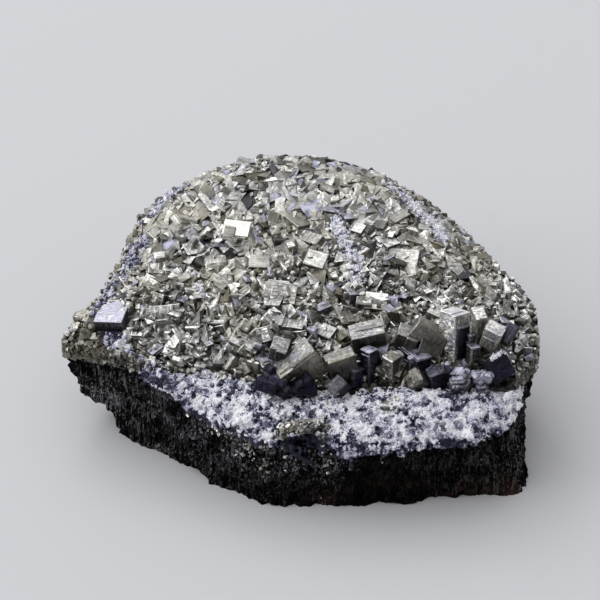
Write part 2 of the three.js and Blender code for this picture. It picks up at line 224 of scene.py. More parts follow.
def station(u):
    """A row like those of STATIONS, at share u of the way round."""
    count = len(STATIONS)
    k, t = divmod((u % 1) * count, 1)
    p, q, r, s = (np.array(STATIONS[(int(k) + i) % count], float) for i in (-1, 0, 1, 2))
    m0, m1 = (r - p) / 2, (s - q) / 2
    return (2 * q - 2 * r + m0 + m1) * t**3 + (3 * r - 3 * q - 2 * m0 - m1) * t**2 + m0 * t + q


def inset(place, by):
    """A station's point moved towards the middle by a distance."""
    inward = CENTRE - place[:2]
    return place[:2] + inward / np.linalg.norm(inward) * by


def as_object(name, points, faces):
    """A mesh object from points in millimetres, none further out than the solids reach."""
    mesh = bpy.data.meshes.new(name)
    mesh.from_pydata(np.clip(np.asarray(points) * MM, *cad_box), [], faces)
    made = bpy.data.objects.new(name, mesh)
    bpy.context.scene.collection.objects.link(made)
    return made


def from_rings(name, rings):
    """A closed mesh from rings of points in millimetres, from its underside to its top."""
    count = len(rings[0])
    across = [(i, (i + 1) % count) for i in range(count)]
    faces = []
    for k in range(0, (len(rings) - 1) * count, count):
        faces += [(k + i, k + j, k + count + j, k + count + i) for i, j in across]
    low = len(rings) * count
    last = low - count
    faces += [(low, j, i) for i, j in across] + [(low + 1, last + i, last + j) for i, j in across]
    ends = [np.mean(rings[0], axis=0), np.mean(rings[-1], axis=0)]
    return as_object(name, np.concatenate([np.reshape(rings, (-1, 3)), ends]), faces)


def show(piece, material, slot, *nodes):
    """Gives a piece its material, hangs it under the root body and hides the solids that it stands for.
    The slot is not used.
    """
    piece.data.materials.clear()
    piece.data.materials.append(material)
    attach(piece, "root")
    if nodes:
        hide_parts(*nodes)


def plate_rings():
    """Rings up the wall from the flat underside, then in over the ledge under the crust."""
    around = [station(k / PLATE_SPOKES) for k in range(PLATE_SPOKES)]
    rows = []
    for height in np.linspace(0, 1, PLATE_ROWS):
        drawn = np.interp(height, DRAWN_AT, DRAWN_IN)
        rows.append([(*inset(s, s[FOOT] * drawn), height * s[WALL]) for s in around])
    wall = np.array(rows)
    flat = wall.reshape(-1, 3)
    depth = sum(deep * abs(lumps(flat, size, k)) for k, (size, deep) in enumerate(FIBRES))
    depth += sum(deep * lumps(flat, size, 9 + k) for k, (size, deep) in enumerate(BREAKS))
    for middle, reach, deep in POCKETS:
        depth += deep * np.exp(-((np.linalg.norm(flat - middle, axis=1) / reach) ** 2))
    inward = CENTRE - flat[:, :2]
    inward /= np.linalg.norm(inward, axis=1)[:, None]
    flat[:, :2] += inward * (depth - WALL_OUT)[:, None]
    flat[:, 2] += np.where(flat[:, 2] > CHIPS_FROM, CHIPS[1] * lumps(flat, CHIPS[0], 30), 0)
    shelves = [[(*inset(s, max(s[LEDGE], 0) + back), PLATE_TOP) for s in around] for back in SHELF]
    return [*wall, *shelves]


def dark_sulphide():
    look = new_look("dark_sulphide")
    fibres = look.grain(look.place(1, 1, 0.1), 1.5, detail=5, rough=0.65)
    threads = look.grain(look.place(1, 1, 0.09), 3, detail=4, rough=0.7)
    blotches = look.grain(look.place(), 0.16, detail=4)
    crumbs = look.grain(look.place(), 2.2, detail=5, rough=0.75)
    chosen = look.part(look.cells(look.place(1, 1, 0.5), 3.2, "Color"), "X")
    height = look.along("Z")
    across = look.along("X")
    left = look.between(across, 5, -45)
    glint = look.between(chosen + 0.6 * blotches + 0.5 * crumbs + 0.06 * left, 1.6, 1.66)
    right = look.between(across, 20, 50)
    streaked = 0.5 * fibres + 0.5 * threads + 0.4 * crumbs + 0.3 * blotches
    grey = look.mix(look.between(streaked, 0.84, 1.08), SULPHIDE_DARK, SULPHIDE_GREY)
    sides = left + 0.6 * right + 0.8 * look.between(across, 44, 50)
    stone = look.mix(sides * look.between(streaked, 0.86, 1.06), grey, SULPHIDE_PALE)
    patch = look.between(across, -36, -20) * look.between(across, 16, 4) * look.between(height, 2, 12)
    speckled = patch * look.between(chosen + 0.9 * crumbs + 1.3 * blotches, 1.9, 2.15)
    low_right = look.between(height, 9, 1) * look.between(across, -10, 45)
    rust = look.between(blotches + 0.3 * crumbs, 0.55, 0.8) * (0.05 + 0.95 * low_right)
    rusty = look.mix(rust, look.mix(speckled, stone, SPECKLE), SULPHIDE_RUST)
    return look.finish(
        height=0.7 * fibres + 0.4 * threads + 0.8 * crumbs,
        depth=0.6 * MM,
        Base_Color=look.mix(glint, rusty, GLINT),
        Metallic=0.8 * glint,
        Roughness=0.7 - 0.4 * glint,
        Specular_IOR_Level=0.03,
    )


plate = from_rings("dark_plate", plate_rings())
show(plate, dark_sulphide(), "dark_matrix", "matrix")


# The skin of the crust
# The pyrite itself, grown together without gaps between the blocks that stand out of it. Only
# its pits show between the crystals, coloured near-black as painted shade, and its rough edge
# shows along the rim.
CRUST_SPOKES = 36
SKIN_SPOKES = 260
SKIN_RINGS = 46
CRUST_LIP = 21.5
FRONT_Y = -40
FRONT_SURFACE = 26.3
SLOPE = 0.182
SHOULDER_POWER = 5
CALM_FROM = -15
CALM_TO = 20
SKIN_SUNK = (1.2, 0.5)
SKIN_INSET = 0.5
SKIN_LUMPS = (((3, 3, 3), 0.8, 0), ((1.2, 1.2, 1.2), 0.5, 3))
# painted shade: the skin's pyrite is near-black for the pits between the crystals, and so is the front
# cluster's body between its crumbs
PIT_DARK = (0.02, 0.018, 0.014, 1)
PIT_METAL = (0.13, 0.125, 0.11, 1)


def crust_edge():
    """Angle, distance and height of the crust's edge, seen from the middle."""
    rows = []
    for k in range(CRUST_SPOKES):
        place = station(k / CRUST_SPOKES)
        dx, dy = inset(place, place[LEDGE]) - CENTRE
        rows.append((math.atan2(dy, dx), math.hypot(dx, dy), place[CRUST]))
    return np.array(sorted(rows)).T


EDGE_ANGLE, EDGE_REACH, EDGE_HEIGHT = crust_edge()


def outward(x, y):
    """The share of the way from the middle to the crust's edge, and the edge's height there."""
    dx, dy = x - CENTRE[0], y - CENTRE[1]
    angle = np.arctan2(dy, dx)
    reach = np.interp(angle, EDGE_ANGLE, EDGE_REACH, period=2 * math.pi)
    height = np.interp(angle, EDGE_ANGLE, EDGE_HEIGHT, period=2 * math.pi)
    return np.hypot(dx, dy) / reach, height


def skin(y, r, height):
    """The height of the crust's skin at share r of the way to its edge."""
    dome = FRONT_SURFACE + SLOPE * (y - FRONT_Y)
    return height + (dome - height) * (1 - r**SHOULDER_POWER)


def back_share(y):
    """0 in the rough front half of the crust, 1 in its calm far half."""
    return min(max((y - CALM_FROM) / (CALM_TO - CALM_FROM), 0), 1)


def skin_rings():
    """Rings from the middle of the crust's underside, over its edge, to the middle of its top."""
    around = [station(k / SKIN_SPOKES) for k in range(SKIN_SPOKES)]
    edges = np.array([inset(s, s[LEDGE] + SKIN_INSET) for s in around])

    def ring(share, heights):
        return np.column_stack([CENTRE + (edges - CENTRE) * share, heights])

    sunk = np.array([lerp(*SKIN_SUNK, back_share(y)) for _x, y in edges])
    tops = np.array([s[CRUST] for s in around]) - sunk / 2
    low = [ring(share, np.full(SKIN_SPOKES, CRUST_UNDER + 0.2)) for share in (0.02, 0.5, 0.95)]
    side = [ring(1, lerp(CRUST_LIP - 1, tops, t)) for t in np.linspace(0, 1, 7)]
    over = []
    for share in np.linspace(0.99, 0.02, SKIN_RINGS):
        flat = ring(share, tops)
        heights = [skin(y, min(outward(x, y)[0], 1), outward(x, y)[1]) for x, y, _top in flat]
        over.append(ring(share, heights - sunk))
    return np.array([*low, *side, *over])


def lerp(a, b, t):
    return a + (b - a) * t


def pitted_pyrite():
    look = new_look("pitted_pyrite")
    tone = look.part(look.cells(look.place(), 1.1, "Color"), "X")
    edges = look.cells(look.place(), 1.1, "Distance")
    crumbs = look.grain(look.place(), 2.5, detail=4)
    return look.finish(
        height=edges + 0.4 * crumbs,
        depth=0.5 * MM,
        Base_Color=look.mix(tone, PIT_DARK, PIT_METAL),
        Metallic=0.9,
        Roughness=0.4 + 0.2 * crumbs,
    )


rings = skin_rings()
at = rings.reshape(-1, 3)
rough = sum(deep * lumps(at, size, seed) for size, deep, seed in SKIN_LUMPS)
outwards = at[:, :2] - CENTRE
outwards /= np.linalg.norm(outwards, axis=1)[:, None]
at[:, :2] += outwards * (rough * (at[:, 2] > CRUST_UNDER + 1))[:, None]
crust_skin = from_rings("crust_skin", rings)
pits = pitted_pyrite()
show(crust_skin, pits, "pyrite", "pyrite_crust")


# The main crystals
# The cubes and slabs of pyrite that are told apart at a glance, grown in place, with the growth
# steps and fine parallel lines that pyrite faces carry. Three of the front row are heaps of lumps
# instead, and smaller blocks are wedged in its gaps.
EDGE_WEAR = 0.13
EDGE_SHARE = 0.1
EDGE_LIGHT = 0.4
CUT_DEPTH = (0.08, 0.3)
STEP_COUNT = 4
STEP_HIGH = 0.3
STEP_SHARE = (0.45, 0.95)
WEDGED_STEPS = 2
FINE_STEP = 0.2
FRONT_ROW = 21
SUNK_BEHIND = 0.6
# the rows of MAIN_CRYSTALS that are heaps of lumps
LUMPY = (2, 17, 18)
LUMP_COUNT = 14
LUMP_SHARE = (0.4, 0.75)
LUMP_SPREAD = 0.32
LUMP_LEAN = 30
LUMP_TONES = (0.6, 1.4)
PYRITE_LIGHT = (0.92, 0.915, 0.88, 1)
PYRITE_DARK = (0.034, 0.032, 0.028, 1)
VIOLET_LIGHT = (0.32, 0.315, 0.41, 1)
VIOLET_DARK = (0.018, 0.017, 0.03, 1)
QUARTZ_DUST = (0.58, 0.58, 0.7, 1)
TARNISH = (0.4, 0.36, 0.26, 1)
MAIN_CRYSTALS = (
    # middle, edge lengths, turn about Z then Y then X in degrees, brightness, violet tint
    # the brightness is partly painted light and shade, lowest on the shaded front row, and the
    # violet tint is a painted reflection of bluish light
    ((0.5, -31.4, 26), (9.5, 7, 8.5), (24, -30, -10), 0.7, 0.1),
    ((-2.6, -34.7, 26.4), (3.5, 3, 5), (24, -28, 4), 0.4, 0.1),
    ((-3.4, -34.8, 24.2), (12, 6.5, 3.8), (-8, 6, -26), 0.03, 1),
    ((9.6, -32.4, 27.4), (6.4, 3.4, 7.6), (16, -13, 2), 0.38, 0.35),
    ((8.8, -36.3, 24.7), (3.4, 3.4, 3.8), (52, 48, 20), 0.25, 0.7),
    ((15.7, -30.8, 26.2), (3, 3, 9), (44, 6, -8), 0.6, 0.9),
    ((20.6, -31.5, 25.8), (3, 3.4, 8), (48, 0, 0), 0.8, 0.1),
    ((25.6, -28.4, 26.3), (4.5, 7.4, 4.5), (36, 10, 0), 0.35, 0.9),
    ((26.5, -31.6, 23.8), (4, 4, 5.5), (40, 22, -24), 0.08, 0.8),
    ((24.3, -25, 30), (5, 4.5, 4), (-10, 18, 2), 0.45, 0.1),
    ((29.6, -26.8, 28.9), (5.4, 3, 4), (-4, 20, -28), 0.25, 0.3),
    ((29.2, -25.4, 31.4), (8, 4, 4), (-12, 34, -10), 0.35, 0.1),
    ((34.9, -25.8, 31.2), (5, 5, 11.5), (42, 12, -12), 2, 0.35),
    ((40.9, -23.8, 30.8), (2.6, 5, 11), (12, -4, 0), 1, 0.1),
    ((43.4, -28, 32.8), (4, 4, 5), (-24, 14, 0), 1.2, 0.2),
    ((47, -27, 32.5), (2.5, 5, 2), (-34, 8, 30), 0.2, 0.9),
    ((44.6, -31.7, 26.4), (5.5, 5.5, 5.5), (-44, 44, -58), 0.04, 1),
    ((36, -35, 25.4), (5.2, 4.5, 4.2), (38, -22, 4), 1.3, 1),
    ((41, -34.8, 25.4), (3.6, 3.6, 5), (32, -12, 10), 1.3, 1),
    ((15.3, -25.6, 31.2), (7.8, 5, 4), (8, -10, 6), 0.5, 0.15),
    ((-4.7, -28.9, 29.6), (3.8, 4, 4), (-12, 12, 10), 0.6, 0),
    ((-12.3, -24, 28), (7, 4.5, 4.5), (-24, 14, 20), 0.6, 0.2),
    ((-8, -22.5, 30), (3.4, 4.6, 5.4), (120, -54, -150), 1.0, 0.0),
    ((-4.5, -9.5, 30.7), (7.5, 5.5, 5.5), (-8, 2, 24), 0.6, 0.0),
    ((17.5, -13, 30.8), (5.2, 4.8, 4.8), (-6, 4, 18), 1.0, 0.0),
    ((12, -11.5, 31), (3, 4, 6.5), (20, 8, -4), 0.7, 0.7),
    ((-13, -11, 30.6), (6, 4.5, 4.5), (28, -22, 24), 0.6, 0.0),
    ((-19.5, -6, 31.5), (4.4, 4.4, 4), (-30, 20, 34), 0.9, 0.0),
    ((-27, -6, 30.6), (5.6, 5, 5), (20, -24, 20), 0.5, 0.0),
    ((-31.5, -13, 28.8), (5.4, 6, 4), (-5, -8, -34), 0.9, 0.0),
    ((-43.2, -13.2, 27.5), (7, 7.5, 5), (-14, -8, 8), 1.1, 0.7),
    ((-1.5, 1.5, 32.5), (5.5, 5, 5), (40, 24, -20), 0.9, 0.0),
    ((3.6, 0.5, 32.6), (5, 5, 6.5), (-18, 6, 12), 0.8, 0.0),
    ((24.5, 2, 32.6), (7.5, 5.5, 5), (-12, -4, 12), 0.7, 0.0),
    ((-15, 11.5, 35.2), (6.5, 4.4, 4.4), (168, 0, 156), 2, 0.0),
    ((-5.5, 17, 34.8), (6, 5.2, 4.8), (-162, 18, 162), 0.9, 0.0),
    ((9.8, 21, 35.7), (6, 5.4, 4), (150, 18, -174), 0.8, 0.2),
    ((20.6, 11.2, 34.4), (5.6, 3.8, 4), (156, 6, 168), 1.0, 0.0),
    ((14.8, 12.5, 34.7), (4.6, 5.5, 4), (150, 0, 168), 0.7, 0.0),
)
WEDGED = (
    # the same; the darkest of them, with a full violet tint, are painted shade in the gaps of the front
    # row and in the recess at the left
    ((26.3, -34, 24.8), (4.2, 4.2, 4.2), (40, 40, 30), 0.3, 0.2),
    ((30.8, -33.4, 25), (4, 3.4, 5.5), (20, -12, 0), 0.2, 0.9),
    ((22.3, -31, 26.6), (2, 2.2, 7), (30, 4, -6), 1, 0.1),
    ((25.2, -31.8, 26), (1.3, 1.3, 7), (20, -4, -6), 1.2, 1),
    ((33.2, -33, 25.6), (1.2, 1.4, 6.5), (10, 3, -8), 1.2, 1),
    ((12.3, -33, 25), (3.2, 3, 5), (30, 10, -10), 0.15, 0.9),
    ((39, -29.6, 28), (2.6, 2.6, 6), (25, 8, -10), 0.7, 0.6),
    ((36.5, -27.6, 30.2), (4.2, 1.2, 8.6), (42, 12, -12), 0.7, 1),
    ((38.4, -27.4, 29), (1.6, 1.6, 7), (42, 12, -12), 0.9, 0.9),
    ((-7, -35.2, 24.2), (5.5, 5, 3), (-24, 2, -30), 0.02, 1),
    ((0.8, -35.9, 23.6), (5.5, 4.5, 3), (8, 10, -36), 0.02, 1),
    ((-42.4, -18, 24.4), (7, 4, 3), (-14, -8, 34), 0.06, 1),
)


def turned(yaw, pitch, roll):
    """Turn matrix about Z, then Y, then X, in degrees."""
    angles = [math.radians(degrees) for degrees in (roll, pitch, yaw)]
    return np.array(Euler(angles, "XYZ").to_matrix())


def any_turn(random):
    """A turn matrix with no preferred way up."""
    q, r = np.linalg.qr(random.normal(size=(3, 3)))
    turn = q * np.sign(np.diag(r))
    return turn * np.linalg.det(turn)


def block_pattern(worn):
    """A block: its points as signs, how each is drawn in by wear, and each face with its axis.

    A worn block has three points to a corner, each lying in one of the flat faces and drawn
    in from the other two. The axis is None on the strips and corners between the flat faces.
    """
    corners = [(i, j, k) for i in (-1, 1) for j in (-1, 1) for k in (-1, 1)]
    signs = np.repeat(np.array(corners, float), 3, axis=0)
    drawn = np.tile(1 - np.eye(3), (8, 1))
    first = {corner: 3 * n for n, corner in enumerate(corners)}
    faces = [([first[c], first[c] + 1, first[c] + 2], None) for c in corners]
    for axis in range(3):
        b, c = (axis + 1) % 3, (axis + 2) % 3
        around = []
        for sides in ((-1, -1), (1, -1), (1, 1), (-1, 1)):
            ends = []
            for side in (-1, 1):
                corner = [0, 0, 0]
                corner[axis], corner[b], corner[c] = side, *sides
                ends.append(first[tuple(corner)])
            around.append(ends)
            low, high = ends
            faces.append(([low + b, high + b, high + c, low + c], None))
        faces += [([ends[k] + axis for ends in around], axis) for k in (0, 1)]
    points = signs * (1 - 0.2 * drawn)
    facing_out = []
    for loop, axis in faces:
        p, q, r = points[loop[:3]]
        flip = np.cross(q - p, r - q) @ points[loop].mean(0) < 0
        facing_out.append((loop[::-1] if flip else loop, axis))
    if worn:
        return signs, drawn, facing_out
    sharp = [([i // 3 for i in loop], axis) for loop, axis in facing_out if axis is not None]
    return signs[::3], 0 * drawn[::3], sharp


WORN_BLOCK = block_pattern(worn=True)
SHARP_BLOCK = block_pattern(worn=False)


def paint(piece, name, values, domain="POINT"):
    """Gives each point or face of a piece its own value, under a name that a material reads."""
    layer = piece.data.attributes.new(name, "FLOAT", domain)
    layer.data.foreach_set("value", np.asarray(values, "f").ravel())


def lined(piece, flat_maps, tones, violet_reflections):
    """Gives a piece's faces the way their fine lines run, their brightness and their painted violet
    reflection.
    """
    piece.data.uv_layers.new(name="lines").uv.foreach_set("vector", flat_maps.ravel())
    paint(piece, "bright", tones, "FACE")
    paint(piece, "violet", violet_reflections, "FACE")
    return piece


def crystals(name, blocks, seed, contrast=0.5, cut_share=0.0, pattern=WORN_BLOCK):
    """One mesh of many blocks, each (middle, edge lengths, turn matrix, brightness, violet).

    A share of the blocks has its edges and corners cut deep, as pyrite with more kinds of face.
    Towards the front, the strips and corners between the flat faces are lighter, as a painted highlight.
    """
    random = np.random.default_rng(seed)
    count = len(blocks)
    signs, drawn, block_faces = pattern
    worn = np.array([axis is None for _loop, axis in block_faces])
    middle, size, turn, bright, violet = (np.array(column, float) for column in zip(*blocks))
    wear = np.minimum(EDGE_WEAR, EDGE_SHARE * size.min(1)) * random.uniform(0.5, 1.2, count)
    cut = random.uniform(size=count) < cut_share
    wear = np.where(cut, size.min(1) * random.uniform(*CUT_DEPTH, count), wear)
    local = signs * (size[:, None] / 2 - wear[:, None, None] * drawn)
    points = np.einsum("nij,nkj->nki", turn, local) + middle[:, None]
    faces = [[len(signs) * n + i for i in loop] for n in range(count) for loop, _axis in block_faces]
    made = as_object(name, points.reshape(-1, 3), faces)
    shift = random.uniform(0, 50, (count, 1, 2))
    flat_maps = []
    for loop, axis in block_faces:
        lines_from = (axis or 0) + 1
        flat_maps.append(local[:, loop][:, :, [(lines_from + 1) % 3, lines_from % 3]] + shift)
    tones = bright[:, None] * random.uniform(1 - contrast, 1 + 0.3 * contrast, (count, len(worn)))
    # Painted highlight: towards the front, the strips and corners between the flat faces are lighter.
    front = 1 - np.clip((middle[:, 1] - CALM_FROM) / (CALM_TO - CALM_FROM), 0, 1)
    light = EDGE_LIGHT * front * np.minimum(bright / 0.5, 1)
    tones = np.where(worn, light[:, None] + tones, tones)
    violet_reflections = np.where(worn, 0.8, 1) * violet[:, None]
    return lined(made, np.concatenate(flat_maps, 1), tones, violet_reflections)


def stepped(block, count, random, step=STEP_HIGH):
    """A block with the raised growth steps that share its turn, standing out by up to a step."""
    middle, size, turn, bright, violet = block
    middle, size = np.array(middle, float), np.array(size, float)
    grown = [block]
    for _ in range(count):
        part = size * random.uniform(*STEP_SHARE, 3)
        axis = random.integers(3)
        side = random.choice([-1, 1], 3)
        offset = side * (size - part) / 2 * random.uniform(0.7, 1, 3)
        offset[axis] = side[axis] * ((size - part)[axis] / 2 + step * random.uniform(0.15, 1))
        grown.append((middle + turn @ offset, part, turn, bright * random.uniform(0.8, 1.1), violet))
    return grown


def pyrite_faces():
    look = new_look("pyrite_faces")
    mapped = look.add("ShaderNodeUVMap", {"uv_map": "lines"}, out="UV")
    broad = look.add("ShaderNodeMapping", inputs={"Vector": mapped, "Scale": (1.1, 0.05, 1)})
    narrow = look.add("ShaderNodeMapping", inputs={"Vector": mapped, "Scale": (3.2, 0.09, 1)})
    mosaic = look.add("ShaderNodeMapping", inputs={"Vector": mapped, "Scale": (2.2, 1.2, 1)})
    calm = look.between(look.along("Y"), CALM_FROM, CALM_TO)
    facets = look.facets(mosaic, 1) * (1.1 - 0.7 * calm)
    patches = 1 + (0.34 - 0.2 * calm) * (look.part(look.cells(mosaic, 1, "Color"), "Y") - 0.5) * 2
    bands = look.grain(broad, 1, detail=3, rough=0.6)
    lines = look.grain(narrow, 1, detail=3, rough=0.65)
    dust = look.grain(look.place(), 2.2, detail=5, rough=0.75)
    violet_patch = look.grain(look.place(), 0.4, detail=3)
    stain = look.grain(look.place(), 0.09, detail=4)
    bright = look.painted("bright")
    left_tip = look.between(look.along("X"), -42, -50)
    # Painted shade and painted violet reflection among the front row: darker there, with more violet.
    in_front = look.between(look.along("Y"), -22, -29)
    in_front = in_front * look.between(look.along("X"), -14, -4)
    violet = look.painted("violet") + 0.2 * in_front * look.between(violet_patch, 0.45, 0.6)
    # Painted shade: the less open air there is over a face, the darker it is, in recesses and between the
    # crystals.
    open_air = look.between(look.painted("open"), 0.0, 0.85)
    streaks = look.between(lines, 0.4, 0.58)
    flecks = look.between(dust, 0.47, 0.64)
    mottled = look.between(look.grain(look.place(), 1.1, detail=4, rough=0.7), 0.36, 0.64)
    facing = look.add("ShaderNodeNewGeometry", out="Normal")
    upward = look.part(facing, "Z")
    # Painted shade: upright faces, except those that face left, are darker, least at the back.
    painted_side_shade = look.between(upward, 0.6, -0.05) * look.between(look.part(facing, "X"), -0.85, -0.25)
    painted_shade_least = 0.1 + 0.4 * calm
    lines_and_painted_shade = (0.5 + 0.5 * streaks) * (painted_shade_least + (1 - painted_shade_least) * open_air)
    tone = bright * patches * lines_and_painted_shade * (1 - 0.6 * flecks) * (0.88 + 0.96 * mottled)
    grit = look.between(look.grain(look.place(), 2.1, detail=3, rough=0.7), 0.4, 0.6) - 0.5
    tone = tone * (1 + (0.4 - 0.2 * calm + 0.5 * in_front) * grit)
    tone = tone * (1 - (0.65 - 0.5 * calm) * painted_side_shade) * (1 - 0.3 * in_front)
    tone = tone * (1 - 0.28 * calm) * (1 - 0.3 * left_tip)
    metal = look.mix(tone, PYRITE_DARK, PYRITE_LIGHT)
    warm = look.mix(0.35 * look.between(stain + 0.25 * dust, 0.52, 0.78), metal, TARNISH)
    # Painted reflection of bluish light: a violet tint in patches over the metal, dark on dark faces.
    dark = look.mix(tone, VIOLET_DARK, VIOLET_LIGHT)
    violet_reflected = look.mix(violet * look.between(violet_patch + 0.4 * violet, 0.5, 0.7), warm, dark)
    dusted = violet * look.between(upward, 0.3, 0.85) * look.between(violet_patch + 0.5 * dust, 0.62, 0.88)
    dusted = dusted * look.between(bright, 0.2, 0.45)
    return look.finish(
        height=0.6 * bands + 0.35 * lines + facets,
        depth=0.22 * MM,
        Base_Color=look.mix(dusted, violet_reflected, QUARTZ_DUST),
        Metallic=1 - 0.9 * dusted,
        Roughness=0.24 + 0.3 * dust + 0.3 * dusted,
    )


pyrite = pyrite_faces()
random = np.random.default_rng(4)
main_blocks = []
for k, (middle, size, turn, bright, violet) in enumerate(MAIN_CRYSTALS):
    behind = k >= FRONT_ROW
    middle = np.array(middle) - (0, 0, SUNK_BEHIND * behind)
    steps = 0 if behind else STEP_COUNT
    if k not in LUMPY:
        main_blocks += stepped((middle, size, turned(*turn), bright, violet), steps, random)
main_crystals = crystals("main_crystals", main_blocks, 1, contrast=0.35)
show(main_crystals, pyrite, "pyrite", "pyrite_crust")
lumpy_blocks = []
for middle, size, turn, bright, violet in WEDGED:
    block = (middle, size, turned(*turn), bright, violet)
    lumpy_blocks += stepped(block, WEDGED_STEPS, random, FINE_STEP)
for row in LUMPY:
    middle, size, turn, bright, violet = MAIN_CRYSTALS[row]
    for _ in range(LUMP_COUNT):
        part = np.array(size) * random.uniform(*LUMP_SHARE, 3)
        place = middle + turned(*turn) @ (random.uniform(-LUMP_SPREAD, LUMP_SPREAD, 3) * size)
        way = turned(*turn) @ turned(*random.normal(0, LUMP_LEAN, 3))
        lumpy_blocks.append((place, part, way, bright * random.uniform(*LUMP_TONES), violet))
lumpy_crystals = crystals("lumpy_crystals", lumpy_blocks, 15, cut_share=1)
show(lumpy_crystals, pyrite, "pyrite", "pyrite_crust")


# The field crystals
# What stands between the main ones: knots of blocks of every tilt grown into one another, so that
# each shows one or two flat facets. Their tops keep to a level, highest towards the front.
FIELD_X = (-57, 57)
FIELD_Y = (-46, 52)
CRUST_DEEP = 90
FIELD_FRONT = 6.6
FIELD_BACK = 5.6
FIELD_TRIES = 4000
FIELD_FILL = 1.3
FIELD_LEAN = (34, 20)
FIELD_PROUD = (2.6, 0.6)
RIM_STOP = 0.94
FRONT_RIM_STOP = 0.95
CLEAR_LEFT, CLEAR_RIGHT, CLEAR_BACK = -12, 50, -33
RECESS = (-43, -15.5, 5)
KNOT_BLOCKS = 6
KNOT_ALIGNED = 2
KNOT_SHARE = ((0.32, 0.65), (0.45, 0.85))
KNOT_SPREAD = 0.55
KNOT_SHRINK = 0.55
KNOT_STOP = 0.9
LEFT_STOP = 0.85
LEFT_PART = -30
LEFT_OUT = 0.88
LEAN_SPREAD = (20, 14)
STEEP_SHARE = (0.6, 0.6)
TONES = (0.47, 0.88)
DARK_TONES = (0, 0.16)
DARK_SHARE = (0.1, 0.25)
BRIGHT_TONES = (1, 1.25)
BRIGHT_SHARE = 0.08
VIOLET_REFLECTION_SHARE = 0.08


def numbers(seed):
    """A seeded source of numbers from 0 to 1, the same one that the solids are made with."""
    whole = 0xFFFFFFFF
    state = seed
    while True:
        state = (state + 0x6D2B79F5) & whole
        t = ((state ^ (state >> 15)) * (state | 1)) & whole
        t ^= (t + (((t ^ (t >> 7)) * (t | 61)) & whole)) & whole
        yield ((t ^ (t >> 14)) & whole) / 4294967296


def any_tone(y, random):
    """How bright a block is. A few are almost black and a few mirror the light."""
    odd = random.uniform()
    if odd < lerp(*DARK_SHARE, back_share(y)):
        return random.uniform(*DARK_TONES)
    return random.uniform(*(BRIGHT_TONES if odd > 1 - BRIGHT_SHARE else TONES))


def any_violet_reflection(random):
    """How much painted violet reflection a block has. Most have none."""
    return random.uniform(0.5, 1) if random.uniform() < VIOLET_REFLECTION_SHARE else 0.0


def low_turn(y, random):
    """A turn matrix that leans a little, or now and then any way at all, least at the back."""
    back = back_share(y)
    if random.uniform() < lerp(*STEEP_SHARE, back):
        return any_turn(random)
    return turned(random.uniform(0, 360), *random.normal(0, lerp(*LEAN_SPREAD, back), 2))


def levelled(x, y, size, turn, proud):
    """The middle of a block whose highest corner stands out of the skin by a distance."""
    r, height = outward(x, y)
    reach = np.abs(turn[2]) @ size / 2
    return np.array([x, y, skin(y, min(r, 1), height) + proud - reach])


def way_back(y):
    """0 at the crust's front, 1 at its back."""
    return (y - FRONT_Y) / CRUST_DEEP


def proud_at(y, share):
    return lerp(*FIELD_PROUD, way_back(y)) * share


def in_the_clear(x, y):
    """Whether a place is in the strip before the front row, where nothing smaller grows."""
    return CLEAR_LEFT < x < CLEAR_RIGHT and y < CLEAR_BACK


def kept_bare(x, y):
    """Whether a place is clear, or in the hollow around the smooth facet at the left."""
    recess_x, recess_y, reach = RECESS
    return in_the_clear(x, y) or math.hypot(x - recess_x, y - recess_y) < reach


def knot(block, random):
    """The smaller blocks that make up one block of the field, fewer at the back."""
    middle, size, turn, proud = block
    parts = []
    for k in range(KNOT_BLOCKS):
        x, y = middle + random.uniform(-KNOT_SPREAD, KNOT_SPREAD, 2) * np.mean(size)
        back = back_share(y)
        aligned = k < KNOT_ALIGNED
        r = outward(x, y)[0]
        stop = LEFT_STOP if x < LEFT_PART else KNOT_STOP
        if random.uniform() < LEFT_OUT * back or r > stop or kept_bare(x, y):
            continue
        share = random.uniform(*lerp(*np.array(KNOT_SHARE), back)) + 0.1 * aligned * back
        part = np.mean(size) * share * lerp(1, KNOT_SHRINK, r**6) * random.uniform(0.65, 1.3, 3)
        way = turn if aligned else low_turn(y, random)
        place = levelled(x, y, part, way, proud * random.uniform(0.1, 1))
        steps = 2 if back < 0.5 else 0
        small = (place, part, way, any_tone(y, random), any_violet_reflection(random))
        parts += stepped(small, steps, random, FINE_STEP)
    return parts


def field_blocks():
    """The blocks of the solids' field: place, edge lengths, turn, and how far each stands out."""
    draw = numbers(11)
    placed = [(m[0], m[1], sum(s) / 3) for m, s, *_rest in MAIN_CRYSTALS]
    found = []
    for _ in range(FIELD_TRIES):
        x, y = lerp(*FIELD_X, next(draw)), lerp(*FIELD_Y, next(draw))
        yaw, pitch, roll, bulk, kind = (next(draw) for _ in range(5))
        r, height = outward(x, y)
        room = lerp(FIELD_FRONT, FIELD_BACK, way_back(y)) * lerp(0.85, 1.15, bulk)
        stop = FRONT_RIM_STOP if y < FRONT_Y + 10 else RIM_STOP
        near = any(math.hypot(px - x, py - y) < (size + room) / 2 for px, py, size in placed)
        if in_the_clear(x, y) or r > stop or near:
            continue
        placed.append((x, y, room))
        t = min(max((r - 0.7) / 0.3, 0), 1)
        side = room * FIELD_FILL * lerp(1, 0.7, t * t * (3 - 2 * t))
        size = (side * lerp(0.8, 1.15, yaw), side * lerp(1.1, 0.85, roll), side * lerp(0.9, 1.1, pitch))
        lean = lerp(*FIELD_LEAN, way_back(y))
        turn = turned(yaw * 360, lerp(-lean, lean, pitch), lerp(-lean, lean, roll))
        found.append((np.array([x, y]), np.array(size), turn, proud_at(y, lerp(0.6, 1.2, kind))))
    return found


